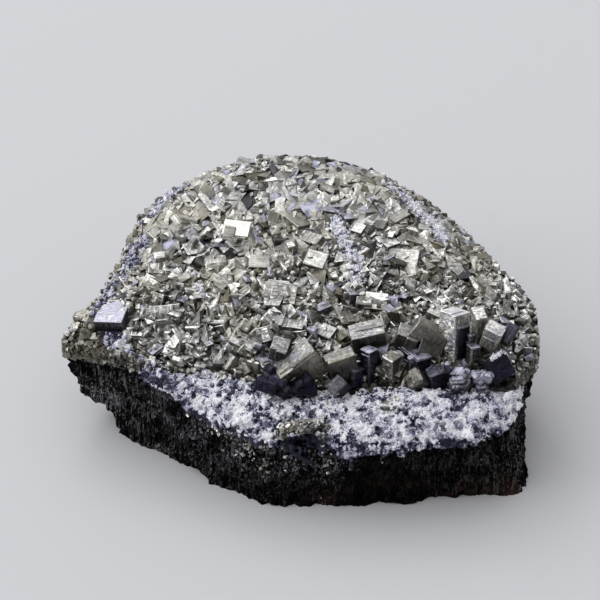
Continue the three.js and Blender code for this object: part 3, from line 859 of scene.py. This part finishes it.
def beside_main():
    """Places like those of the field's blocks, at the main crystals behind the front row.

    Those near the rim stand alone.
    """
    for middle, size, turn, _bright, _violet in MAIN_CRYSTALS[FRONT_ROW:]:
        turn = turned(*turn)
        r, height = outward(*middle[:2])
        if r > LEFT_STOP:
            continue
        top = middle[2] + np.abs(turn[2]) @ size / 2
        yield np.array(middle[:2]), np.array(size), turn, top - skin(middle[1], min(r, 1), height) + 0.1


random = np.random.default_rng(21)
field_parts = [part for block in [*field_blocks(), *beside_main()] for part in knot(block, random)]
field_crystals = crystals("field_crystals", field_parts, 2, cut_share=0.3)
show(field_crystals, pyrite, "pyrite", "pyrite_crust")


# The mosaic
# The ground between and under the blocks: pyrite grown together so closely that only flat facets
# show, lying almost level towards the back and steep, often with a corner up, towards the front.
MOSAIC_SIDE = 57
MOSAIC_AREA = ((2, 24), (1.3, 18))
MOSAIC_LONG = (1, 0.6)
MOSAIC_TILT = (20, 7)
MOSAIC_STEP = (0.9, 0.12)
MOSAIC_RISE = (0.4, 0.1)
MOSAIC_CORNERS = (0.7, 0.3)
MOSAIC_DEPTH = 3
MOSAIC_STOP = 0.97


def split(corners, random):
    """The two polygons that a polygon falls into, cut across its longer way."""
    middle = corners.mean(0)
    spread = (corners - middle) * (1, lerp(*MOSAIC_LONG, back_share(middle[1])))
    _values, ways = np.linalg.eigh(spread.T @ spread)
    across = ways[:, 1] @ turned(math.degrees(random.normal(0, 0.5)), 0, 0)[:2, :2]
    far = spread @ across
    far -= random.uniform(-0.15, 0.15) * np.ptp(far)
    halves = ([], [])
    for k, corner in enumerate(corners):
        nxt = (k + 1) % len(corners)
        halves[int(far[k] > 0)].append(corner)
        if (far[k] > 0) != (far[nxt] > 0):
            crossing = lerp(corner, corners[nxt], far[k] / (far[k] - far[nxt]))
            for half in halves:
                half.append(crossing)
    return [np.array(half) for half in halves]


def mosaic_cells(random):
    """Flat polygons of many sizes that cover the crust's plan."""
    side = MOSAIC_SIDE
    waiting = [np.array([(-side, -side), (side, -side), (side, side), (-side, side)], float)]
    cells = []
    while waiting:
        corners = waiting.pop()
        x, y = corners.T
        area = abs(x @ np.roll(y, -1) - y @ np.roll(x, -1)) / 2
        least, most = lerp(*np.array(MOSAIC_AREA), back_share(y.mean()))
        if area > max(2 * least, math.exp(random.uniform(math.log(least), math.log(most)))):
            waiting += split(corners, random)
        elif all(outward(*corner)[0] < MOSAIC_STOP and not kept_bare(*corner) for corner in corners):
            cells.append(corners)
    return cells


def mosaic(name, seed):
    """A prism on each cell, its top one tilted facet or up to three that meet in a corner."""
    random = np.random.default_rng(seed)
    points, faces, flat_maps, tones, violet_reflections = [], [], [], [], []
    for corners in mosaic_cells(random):
        middle = corners.mean(0)
        back = back_share(middle[1])
        tilt = np.tan(np.radians(random.normal(0, lerp(*MOSAIC_TILT, back), 2)))
        raised = random.uniform(-1, 1) * lerp(*MOSAIC_STEP, back)
        levels = [skin(y, *outward(x, y)) + raised for x, y in corners] + (corners - middle) @ tilt
        top = np.column_stack([corners, levels])
        first, count = len(points), len(corners)
        apex = lerp(top.mean(0), top[random.integers(count)], random.uniform(0, 0.5))
        apex[2] += np.ptp(corners, axis=0).mean() * lerp(*MOSAIC_RISE, back) * random.uniform(0.4, 1)
        points += [*top, *(top - (0, 0, MOSAIC_DEPTH)), apex]
        breaks = np.sort(random.choice(count, 3, replace=False))
        if random.uniform() < lerp(*MOSAIC_CORNERS, back):
            loops = []
            for a, b in zip(breaks, np.roll(breaks, -1)):
                loops.append([2 * count, *((a + k) % count for k in range((b - a) % count + 1))])
        else:
            loops = [list(range(count))]
        loops += [[k, count + k, count + (k + 1) % count, (k + 1) % count] for k in range(count)]
        turn = turned(random.uniform(0, 360), 0, 0)[:2, :2]
        tone, violet_patch = any_tone(middle[1], random), any_violet_reflection(random)
        for loop in loops:
            faces.append([first + k for k in loop])
            flat = np.array([points[k][:2] for k in faces[-1]]) - middle
            flat_maps.append(flat @ turn + random.uniform(0, 50, 2))
            tones.append(tone * random.uniform(0.6, 1.15))
            violet_reflections.append(violet_patch)
    return lined(as_object(name, points, faces), np.concatenate(flat_maps), tones, violet_reflections)


crust_mosaic = mosaic("crust_mosaic", 31)
show(crust_mosaic, pyrite, "pyrite", "pyrite_crust")


# The small crystals
# The dense growth that fills the mosaic between the larger facets and rounds off the rim, each
# turned its own way and grown into its neighbours.
MEDIUM = {"spacing": (2.4, 2.2), "fill": (1.8, 2.1), "proud": (0, 0.7), "bare": (0.6, 0.985), "stop": 0.95}
SMALL = {"spacing": (1.5, 1.4), "fill": (1.7, 2), "proud": (0, 0.5), "bare": (0.75, 0.985), "stop": 0.99}
PLAN_X = (-57, 57)
PLAN_Y = (-47, 52)
PLACE_TRIES = 20000
TINY_STEP = 0.15
RIM_RADIUS = 50
RIM_HANG = 1.2
RIM_SPACING = 0.9
RIM_SIZE = (0.45, 1.4)


def on_crust(count, stop, random):
    """Random places on the crust, as x, y, share of the way out and height of the skin."""
    x, y = random.uniform(*PLAN_X, count), random.uniform(*PLAN_Y, count)
    r, height = outward(x, y)
    return np.column_stack([x, y, r, skin(y, r, height)])[r < stop]


def covering(kind, steps, seed):
    """Blocks no closer than their spacing, which narrows towards the rim as they shrink."""
    random = np.random.default_rng(seed)
    taken = np.empty((PLACE_TRIES, 3))
    blocks = []
    kept = 0
    for x, y, r, _z in on_crust(PLACE_TRIES, kind["stop"], random):
        room = lerp(*kind["spacing"], r**3) * random.uniform(0.75, 1.3)
        near = taken[:kept]
        if random.uniform() < lerp(*kind["bare"], back_share(y)) * (r < MOSAIC_STOP):
            continue
        if kept_bare(x, y) or (np.hypot(near[:, 0] - x, near[:, 1] - y) < (near[:, 2] + room) / 2).any():
            continue
        taken[kept] = x, y, room
        kept += 1
        size = room * lerp(*kind["fill"], back_share(y) * (1 - r**4)) * random.uniform(0.65, 1.35, 3)
        size *= lerp(1, 0.5, r**8)
        turn = low_turn(y, random)
        middle = levelled(x, y, size, turn, proud_at(y, random.uniform(*kind["proud"])))
        block = (middle, size, turn, any_tone(y, random), any_violet_reflection(random))
        blocks += stepped(block, steps, random, TINY_STEP)
    return blocks


def rim_blocks(seed):
    """Cubes all over the crust's upright edge, from its lip to its shoulder."""
    random = np.random.default_rng(seed)
    blocks = []
    columns = int(2 * math.pi * RIM_RADIUS / RIM_SPACING)
    for k in range(columns):
        s = station((k + random.uniform(-0.3, 0.3)) / columns)
        for z in np.arange(CRUST_LIP - RIM_HANG, s[CRUST], RIM_SPACING):
            side = random.uniform(*RIM_SIZE)
            x, y = inset(s, s[LEDGE] + side * random.uniform(0.35, 0.7))
            middle = (x, y, z + random.uniform(-0.6, 0.6))
            if kept_bare(x, y):
                continue
            size = side * random.uniform(0.7, 1.3, 3)
            blocks.append((middle, size, any_turn(random), random.uniform(0.2, 0.9), 0.0))
    return blocks


small_blocks = covering(MEDIUM, 1, 5) + covering(SMALL, 0, 6)
small_crystals = crystals("small_crystals", small_blocks, 3, cut_share=0.45)
show(small_crystals, pyrite, "pyrite", "pyrite_crust")
rim_crystals = crystals("rim_crystals", rim_blocks(12), 13, contrast=0.7, pattern=SHARP_BLOCK)
show(rim_crystals, pyrite, "pyrite", "pyrite_crust")


# The grains
# The druse of pyrite grains, about a millimetre across, that came last. It lies in patches over
# the larger crystals and leaves their faces bare between them.
GRAIN_TRIES = 9000
GRAIN_PATCH = (6, 6, 6)
GRAIN_HEAPED = 5
GRAIN_THINNED = 3
GRAIN_LOOSE = (-0.5, 0.8)
SHELTER_REACH = 4 * MM
SHELTER_START = 0.08 * MM
# lean from upright in degrees, rays that lean so
SHELTER_RAYS = ((30, 3), (58, 5))
GRAIN_SIZE = (0.4, 1.1)


def surface_of(*pieces):
    """One search tree over several pieces, in metres."""
    points, faces = [], []
    for piece in pieces:
        first = len(points)
        points += [v.co for v in piece.data.vertices]
        faces += [[first + i for i in p.vertices] for p in piece.data.polygons]
    return BVHTree.FromPolygons(points, faces)


under_grains = (crust_skin, main_crystals, lumpy_crystals, field_crystals, crust_mosaic, small_crystals)
grown = surface_of(*under_grains)
ABOVE = Vector((0, 0, 60 * MM))
DOWN = Vector((0, 0, -1))


def landing(x, y):
    """Where something dropped at x, y in millimetres lands on the crust."""
    spot = grown.ray_cast(Vector((x * MM, y * MM, 0)) + ABOVE, DOWN)[0]
    return None if spot is None else np.array(spot) / MM


def grain_blocks(seed):
    """Grains in patches, thickest in the pits."""
    random = np.random.default_rng(seed)
    blocks = []
    places = on_crust(GRAIN_TRIES, 0.98, random)
    patches = lumps(places[:, [0, 1, 3]], GRAIN_PATCH, 40)
    for (x, y, _r, z), patch in zip(places, patches):
        spot = landing(x, y)
        if spot is None or kept_bare(x, y):
            continue
        level = GRAIN_HEAPED * patch + random.uniform(*GRAIN_LOOSE) - GRAIN_THINNED * back_share(y)
        if spot[2] - z > level:
            continue
        size = random.uniform(*GRAIN_SIZE) * random.uniform(0.7, 1.3, 3)
        blocks.append((spot, size, any_turn(random), random.uniform(0.15, 1), 0.0))
    return blocks


def paint_open(piece, tree, alike=1):
    """Paints a piece with the share of open air over its points, the same for so many in a row.

    The pyrite's colour turns this share into painted shade in recesses and between crystals.
    """
    ways = [Vector((0, 0, 1))]
    for tilt, count in SHELTER_RAYS:
        for k in range(count):
            around = math.radians(360 * k / count + tilt)
            lean = math.radians(tilt)
            out = math.sin(lean)
            ways.append(Vector((out * math.cos(around), out * math.sin(around), math.cos(lean))))
    values = []
    for v in list(piece.data.vertices)[::alike]:
        start = v.co + v.normal * SHELTER_START
        blocked = sum(tree.ray_cast(start, way, SHELTER_REACH)[0] is not None for way in ways)
        values += [1 - blocked / len(ways)] * alike
    paint(piece, "open", values)


grains = crystals("pyrite_grains", grain_blocks(55), 7, contrast=0.6, pattern=SHARP_BLOCK)
show(grains, pyrite, "pyrite", "pyrite_crust")
everything = surface_of(*under_grains, rim_crystals, grains)
# The share of open air over each point, which the pyrite's colour turns into painted shade.
for piece in (main_crystals, lumpy_crystals, field_crystals, small_crystals):
    paint_open(piece, everything, alike=3)
for piece in (crust_mosaic, rim_crystals, grains):
    paint_open(piece, everything)


# The quartz band
# Sugary white quartz that filled the ledge in front of the pyrite. It is a bed of rounded knobs
# grown into one another, hollow round the front cluster, and it drips over the edge of the plate.
# Partly as painted shade, it turns lavender and then near-black the lower it lies between the
# knobs, and it is near-black in the hollow.
BAND_FROM = 0.095
BAND_TO = 0.525
QUARTZ_GRID = 0.27 * MM
# how many, their radii, how far their middles lie out of the bed
KNOBS = ((300, (0.9, 1.6), 0.1), (1100, (0.4, 0.8), 0.6), (2200, (0.2, 0.4), 0.95))
ROUGH_SIZES = ((1.1, 1.1, 1.1), (0.5, 0.5, 0.5))
ROUGH_DEPTHS = (0.3, 0.2)
DRIPS = 120
DRIP_LENGTH = (0.5, 2.6)
DRIP_THICKNESS = (0.2, 0.5)
# share of the way round, length, thickness
TONGUES = ((0.313, 5.5, 0.9), (0.372, 2.5, 0.7), (0.262, 2.2, 0.7), (0.215, 2, 0.6))
LIP = 1.2
TUCKED_MOST = 4
# middle, reach, depth
HOLLOW = ((1, -47.5, 16.2), (5.5, 4, 2.6), 5)
# x and z of its two ends on the wall
SLAB = ((-3, 13.6), (3, 10.2))
# white, the lavender that the quartz has lower down and in painted shade, and the near-black of painted
# shade in its gaps
QUARTZ_WHITE = (0.97, 0.97, 0.99, 1)
QUARTZ_LAVENDER = (0.38, 0.38, 0.58, 1)
QUARTZ_GAP = (0.02, 0.02, 0.045, 1)


def ball_pattern():
    bpy.ops.mesh.primitive_ico_sphere_add(subdivisions=1, radius=1)
    ball = bpy.context.object
    points = np.array([v.co for v in ball.data.vertices])
    faces = np.array([list(p.vertices) for p in ball.data.polygons])
    bpy.data.objects.remove(ball)
    return points, faces


BALL_POINTS, BALL_FACES = ball_pattern()


def points_of(piece):
    """A piece's points in millimetres."""
    return np.array([v.co for v in piece.data.vertices]) / MM


def grown_together(name, balls, grid, solid=((), ())):
    """One mesh from balls, each (middle, radii) in millimetres, and a solid's points and faces."""
    points = [BALL_POINTS * np.array(radii) + middle for middle, radii in balls]
    first = len(balls) * len(BALL_POINTS)
    faces = [list(face + k) for k in range(0, first, len(BALL_POINTS)) for face in BALL_FACES]
    points.append(np.reshape(solid[0], (-1, 3)))
    faces += [[first + i for i in loop] for loop in solid[1]]
    made = as_object(name, np.concatenate(points), faces)
    even = made.modifiers.new("even", "REMESH")
    even.mode = "VOXEL"
    even.voxel_size = grid
    joined = bpy.data.meshes.new_from_object(made.evaluated_get(bpy.context.evaluated_depsgraph_get()))
    joined.name = name
    made.modifiers.clear()
    made.data = joined
    return made


def on_faces(mesh, count, random, wanted):
    """Random places on a mesh's faces where wanted(normal) holds, with their normals."""
    faces = mesh.polygons
    areas = np.array([f.area * wanted(f.normal) for f in faces])
    found = []
    for k in random.choice(len(faces), count, p=areas / areas.sum()):
        corners = np.array([mesh.vertices[i].co for i in faces[k].vertices]) / MM
        shares = random.dirichlet(np.ones(len(corners)))
        found.append((shares @ corners, np.array(faces[k].normal)))
    return found


def roughen(piece, sizes, depths):
    """Moves a mesh's points along their normals by noise."""
    mesh = piece.data
    at = points_of(piece)
    normal = np.array([v.normal for v in mesh.vertices])
    push = sum(depth * lumps(at, size, 7 * k) for k, (size, depth) in enumerate(zip(sizes, depths)))
    at += normal * push[:, None]
    mesh.vertices.foreach_set("co", np.clip(at * MM, *cad_box).ravel())


def raised_over(piece, node):
    """Paints a piece with how far, up to a millimetre, each point stands above a solid."""
    solid = surface_of(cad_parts[node])
    high = []
    for v in piece.data.vertices:
        spot, _normal, _face, far = solid.find_nearest(v.co)
        high.append(min(far / MM, 1) * (1 if (v.co - spot).dot(v.normal) > 0 else -1))
    paint(piece, "raised", high)


def sugary_quartz():
    look = new_look("sugary_quartz")
    patches = look.grain(look.place(), 0.22, detail=3)
    sugar = look.grain(look.place(), 2.4, detail=5, rough=0.75)
    right = look.between(look.along("X"), 10, 40)
    left_end = look.between(look.along("X"), -22, -36)
    middle, reach, _deep = HOLLOW
    off = look.vectors("DIVIDE", look.vectors("SUBTRACT", look.place(), middle), reach)
    hollow = look.between(look.vectors("LENGTH", off, (0, 0, 0), "Value"), 1.25, 0.85)
    fine = look.grain(look.place(), 4.5, detail=3, rough=0.7)
    # Painted shade: the less a point stands above the bed, the more lavender and then near-black it is,
    # and the hollow round the front cluster is darkened.
    raised = 0.6 * look.painted("raised") + 2.4 * patches + 1.6 * sugar + 1.1 * fine
    raised = raised - 1.72 - 0.15 * right
    low = look.between(look.along("Z") + 0.1 * look.along("X"), 16.8, 14)
    specks = look.between(look.grain(look.place(), 3.4, detail=3), 0.56, 0.66)
    valleys = look.between(look.grain(look.place(), 0.6, detail=4, rough=0.65), 0.48, 0.41)
    valleys = valleys * look.between(patches + 0.1 * right, 0.6, 0.46)
    raised = raised - 0.5 * left_end - 1.5 * hollow - 0.8 * low - 1.1 * specks - 1.1 * valleys
    runs = look.between(look.grain(look.place(1, 1, 0.25), 1.1, detail=3), 0.56, 0.44)
    raised = raised - 0.6 * runs * look.between(look.along("Z"), 19, 16.5)
    deep = look.mix(look.between(raised, 0.4, 0.8), QUARTZ_GAP, QUARTZ_LAVENDER)
    return look.finish(
        height=sugar + 0.5 * fine,
        depth=0.35 * MM,
        Base_Color=look.mix(look.between(raised, 0.65, 1.25), deep, QUARTZ_WHITE),
        Roughness=0.3 + 0.3 * sugar,
        Specular_IOR_Level=0.4,
    )


FRONT_ROUTE = np.array([station(u) for u in np.linspace(BAND_FROM, BAND_TO, 60)])


def tucked(points):
    """Points of the band with its lower lip behind the plate's edge and its hollow pressed in."""
    points = np.array(points, float)
    edge = np.interp(points[:, 0], FRONT_ROUTE[:, X], FRONT_ROUTE[:, WALL])
    under = np.clip(edge + LIP - points[:, 2], 0, TUCKED_MOST)
    middle, reach, deep = HOLLOW
    under += deep * np.exp(-(((points - middle) / reach) ** 2).sum(1))
    inward = CENTRE - points[:, :2]
    points[:, :2] += inward / np.linalg.norm(inward, axis=1)[:, None] * under[:, None]
    return points


def band_balls(seed):
    """The balls of the band: its knobs, its drips and tongues, and the slab on the wall."""
    random = np.random.default_rng(seed)
    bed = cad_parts["quartz_band"].data
    balls = []
    for count, radii, out in KNOBS:
        spots = on_faces(bed, count, random, lambda n: n.z > -0.4)
        middles = tucked([point + normal * out for point, normal in spots])
        for middle in middles:
            radius = random.uniform(*radii)
            balls.append((middle - (0, 0, 0.35 * radius), radius * random.uniform(0.75, 1.2, 3)))
    drips = []
    for _ in range(DRIPS):
        u = random.uniform(BAND_FROM + 0.02, BAND_TO - 0.02)
        drips.append((u, random.uniform(*DRIP_LENGTH), random.uniform(*DRIP_THICKNESS)))
    for u, length, thick in (*drips, *TONGUES):
        s = station(u)
        for z in np.arange(0, length, 0.5):
            radius = thick * random.uniform(0.7, 1.1) * lerp(1, 0.5, z / length)
            x, y = inset(s, random.uniform(-0.1, 0.3))
            balls.append(((x, y, s[WALL] + LIP - z), radius * np.array([1, 1, 1.2])))
    wall = surface_of(plate)
    for x, z in np.linspace(*SLAB, 12):
        spot = wall.ray_cast(Vector((x, -80, z)) * MM, Vector((0, 1, 0)))[0]
        balls.append((np.array(spot) / MM, random.uniform(0.4, 1.1, 3)))
    return balls


quartz = sugary_quartz()
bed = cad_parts["quartz_band"]
bed_solid = (tucked(points_of(bed)), [list(p.vertices) for p in bed.data.polygons])
band = grown_together("quartz_knobs", band_balls(61), QUARTZ_GRID, bed_solid)
roughen(band, ROUGH_SIZES, ROUGH_DEPTHS)
# How far each point stands above the bed, which the quartz's colour turns into painted shade.
raised_over(band, "quartz_band")
show(band, quartz, "white_quartz", "quartz_band")


# The quartz seams
# Thin lavender quartz that grew over the pyrite last, along a few cracks and hollows: a low bed
# of knobs, with tiny six-sided points standing out of it.
SEAMS = (
    # route over the crust, half width, points
    (((9, 15), (10, 9.5), (12.6, 3.5), (13.4, -2), (12.6, -8)), 1.4, 950),
    (((-37, 21), (-33, 28), (-28, 32.5)), 1.2, 240),
    (((22, 32), (28, 22), (33, 14), (34.6, 9)), 1.5, 420),
    (((-25.5, -2), (-23.5, -8), (-22, -11.5)), 0.8, 120),
    (((-46, -8.5), (-48, -12.5)), 0.8, 160),
    (((-44.5, -18.5), (-40, -22)), 1, 300),
    (((-40, -22), (-35, -25.5), (-31, -28)), 0.6, 200),
    (((33.5, -26.5), (36.5, -25)), 0.6, 60),
    (((43, -32.5), (46.5, -30.5)), 0.5, 60),
    (((-45, -7), (-42.5, -1), (-39.5, 6), (-38, 13)), 1.8, 420),
)
SEAM_RADIUS = (0.16, 0.42)
SEAM_KNOB = (0.3, 0.75)
SEAM_LEVEL = (-0.3, 1.6)
SEAM_RIM = 0.9
SEAM_LUMPS = (1.4, 1.4, 1.4)


def point_pattern():
    """A six-sided point of radius 1 and length 1: its corners and its faces."""
    ring = [(math.cos(math.radians(60 * k)), math.sin(math.radians(60 * k))) for k in range(6)]
    corners = [(x, y, 0) for x, y in ring] + [(x, y, 0.5) for x, y in ring] + [(0, 0, 1)]
    faces = [[k, (k + 1) % 6, 6 + (k + 1) % 6, 6 + k] for k in range(6)]
    faces += [[6 + k, 6 + (k + 1) % 6, 12] for k in range(6)] + [[5, 4, 3, 2, 1, 0]]
    return np.array(corners), faces


def quartz_points(name, spots):
    """One mesh of many quartz points. Each is (root, direction, radius, length, whiteness)."""
    corners, faces = point_pattern()
    points, loops = [], []
    for root, direction, radius, length, _white in spots:
        upright = np.array(Vector(direction).to_track_quat("Z", "Y").to_matrix())
        first = len(points) * len(corners)
        points.append((corners * (radius, radius, length)) @ upright.T + root)
        loops += [[first + i for i in loop] for loop in faces]
    made = as_object(name, np.concatenate(points), loops)
    paint(made, "raised", np.repeat([spot[-1] for spot in spots], len(corners)))
    return made


def along_seams(share, random):
    """Places along the seams, for a share of each seam's count.

    The quartz fills what lies low, and near the rim it covers everything.
    """
    for route, width, count in SEAMS:
        legs = np.array(route, float)
        for _ in range(int(count * share)):
            k, t = divmod(random.uniform(0, len(legs) - 1), 1)
            x, y = lerp(legs[int(k)], legs[int(k) + 1], t) + random.normal(0, width / 1.5, 2)
            spot = landing(x, y)
            r, height = outward(x, y)
            level = skin(y, min(r, 1), height) + random.uniform(*SEAM_LEVEL)
            if spot is not None and (spot[2] < level or r > SEAM_RIM):
                yield spot


def seam_knobs(seed):
    random = np.random.default_rng(seed)
    balls = []
    for spot in along_seams(0.9, random):
        radius = random.uniform(*SEAM_KNOB) ** 1.5
        balls.append((spot - (0, 0, 0.3 * radius), radius * random.uniform(0.6, 1.3, 3)))
    return balls


def seam_spots(seed):
    random = np.random.default_rng(seed)
    spots = []
    for spot in along_seams(1, random):
        radius = random.uniform(*SEAM_RADIUS)
        direction = np.array([0, -0.3, 1]) + random.normal(0, 0.6, 3)
        length = radius * random.uniform(1.5, 3)
        spots.append((spot - 0.1, direction, radius, length, random.uniform(0.3, 1.6)))
    return spots


seam_bed = grown_together("quartz_seam_bed", seam_knobs(67), QUARTZ_GRID)
roughen(seam_bed, ROUGH_SIZES, ROUGH_DEPTHS)
paint(seam_bed, "raised", 0.7 + 0.9 * lumps(points_of(seam_bed), SEAM_LUMPS, 5))
show(seam_bed, quartz, "white_quartz")
seams = quartz_points("quartz_seams", seam_spots(66))
show(seams, quartz, "white_quartz")


# The front cluster
# A small arch of brassy pyrite crumbs that grew in the hollow of the quartz. More such crumbs lie
# in patches on the wall below it and at the foot of the front row.
ARCH_GRID = 0.3 * MM
ARCH_SIZES = ((1.2, 1.2, 1.2), (0.5, 0.5, 0.5))
ARCH_DEPTHS = (0.5, 0.25)
# middle, reach, number of balls, their radii
ARCH = ((1, -45.3, 20.6), (5.2, 0.4, -2.4), 11, (1.2, 1.7))
CRUMBS = 1100
CRUMB_SIZE = (0.3, 0.85)
FLECK_SIZE = (0.2, 0.6)
FLECKS = (
    # x and z of the patch, its width and height, crumbs
    ((-10.5, 12.5), (6, 5), 160),
    ((6, 14.5), (1.2, 5), 50),
    ((-18, 14.5), (5, 2.5), 60),
    ((4, 10), (9, 1.5), 40),
    ((4.8, 24.3), (2.5, 2.5), 70),
    ((20.8, 23.6), (3, 2), 60),
)
random = np.random.default_rng(70)
middle, reach, count, radii = ARCH
arch = []
for t in np.linspace(-1, 1, count):
    place = np.array(middle) + np.array(reach) * (t, t * t, t * t)
    arch.append((place, random.uniform(*radii, 3)))
cluster = grown_together("cluster_body", arch, ARCH_GRID)
roughen(cluster, ARCH_SIZES, ARCH_DEPTHS)
# Its body takes the skin's near-black, as painted shade between the crumbs.
show(cluster, pits, "pyrite", "front_cluster")
random = np.random.default_rng(71)
spots = on_faces(cluster.data, CRUMBS, random, lambda n: n.y < 0.5)
on_cluster = len(spots)
front = surface_of(plate, band, main_crystals)
for (x, z), (wide, high), count in FLECKS:
    for dx, dz in random.normal(0, 0.5, (count, 2)):
        start = Vector((x + dx * wide, -80, z + dz * high)) * MM
        spot, normal, _face, _far = front.ray_cast(start, Vector((0, 1, 0)))
        if spot is not None:
            spots.append((np.array(spot) / MM, np.array(normal)))
crumbs = []
for k, (point, normal) in enumerate(spots):
    size = random.uniform(*(CRUMB_SIZE if k < on_cluster else FLECK_SIZE)) * random.uniform(0.4, 1.8, 3)
    crumbs.append((point - 0.1 * normal, size, any_turn(random), 5 * random.uniform(0.1, 1) ** 4, 0.0))
cluster_crystals = crystals("cluster_crystals", crumbs, 8, contrast=0.6, pattern=SHARP_BLOCK)
paint_open(cluster_crystals, surface_of(cluster_crystals))
show(cluster_crystals, pyrite, "pyrite", "front_cluster")


# The table, the light and the camera
# A pale tabletop, a soft dome of light that is brightest high behind the specimen, and the
# view of the photograph.
CAMERA_TURN = math.radians(36)
CAMERA_DISTANCE = 0.52
LOOKED_AT = Vector((0, -12, 20)) * MM
FRAME_LIFT = 9.37 * MM
FOCAL = 133.0
TABLE = 1600
TABLE_COLOUR = (0.52, 0.52, 0.53, 1)
ROOM_COLOUR = (0.96, 0.97, 1, 1)
BRIGHT_SIDE = Vector((-0.6, 0.45, 0.75)).normalized()

table_corners = [(-1, -1, 0), (1, -1, 0), (1, 1, 0), (-1, 1, 0)]
table = as_object("table", table_corners, [[0, 1, 2, 3]])
for vertex, corner in zip(table.data.vertices, table_corners):
    vertex.co = Vector(corner) * TABLE * MM
pale_table = new_look("pale_table").finish(Base_Color=TABLE_COLOUR, Roughness=0.9)
table.data.materials.append(pale_table)

room = Look(bpy.data.worlds.new("room"))
direction = room.add("ShaderNodeTexCoord", out="Generated")
towards = room.vectors("DOT_PRODUCT", direction, BRIGHT_SIDE, "Value")
glow = 0.36 + 1.75 * room.between(towards, -0.25, 1) ** 2
dome = room.add("ShaderNodeBackground", inputs={"Color": ROOM_COLOUR, "Strength": glow})
room.add("ShaderNodeOutputWorld", inputs={"Surface": dome})
scene = bpy.context.scene
scene.world = room.owner
scene.view_settings.view_transform = "Standard"


def soft_box(name, at, width, glow):
    """A square lamp in metres that looks this bright to a face that mirrors it."""
    lamp = bpy.data.lights.new(name, "AREA")
    lamp.size = width
    lamp.energy = glow * math.pi * width**2
    holder = bpy.data.objects.new(name, lamp)
    holder.location = at
    aim = Vector((0, 0, 0.02)) - Vector(at)
    holder.rotation_euler = aim.to_track_quat("-Z", "Y").to_euler()
    scene.collection.objects.link(holder)


soft_box("back_box", (-0.25, 0.7, 0.75), 0.32, 3.5)
soft_box("side_box", (-0.9, -0.25, 0.4), 0.35, 3.5)

camera = bpy.data.objects.new("camera", bpy.data.cameras.new("camera"))
back = Vector((0, -math.cos(CAMERA_TURN), math.sin(CAMERA_TURN)))
up = Vector((0, math.sin(CAMERA_TURN), math.cos(CAMERA_TURN)))
camera.location = LOOKED_AT + CAMERA_DISTANCE * back
aim = LOOKED_AT + FRAME_LIFT * up - camera.location
camera.rotation_euler = aim.to_track_quat("-Z", "Y").to_euler()
camera.data.lens = FOCAL
camera.data.sensor_width = 36
camera.data.clip_start = 0.01
scene.collection.objects.link(camera)
scene.camera = camera
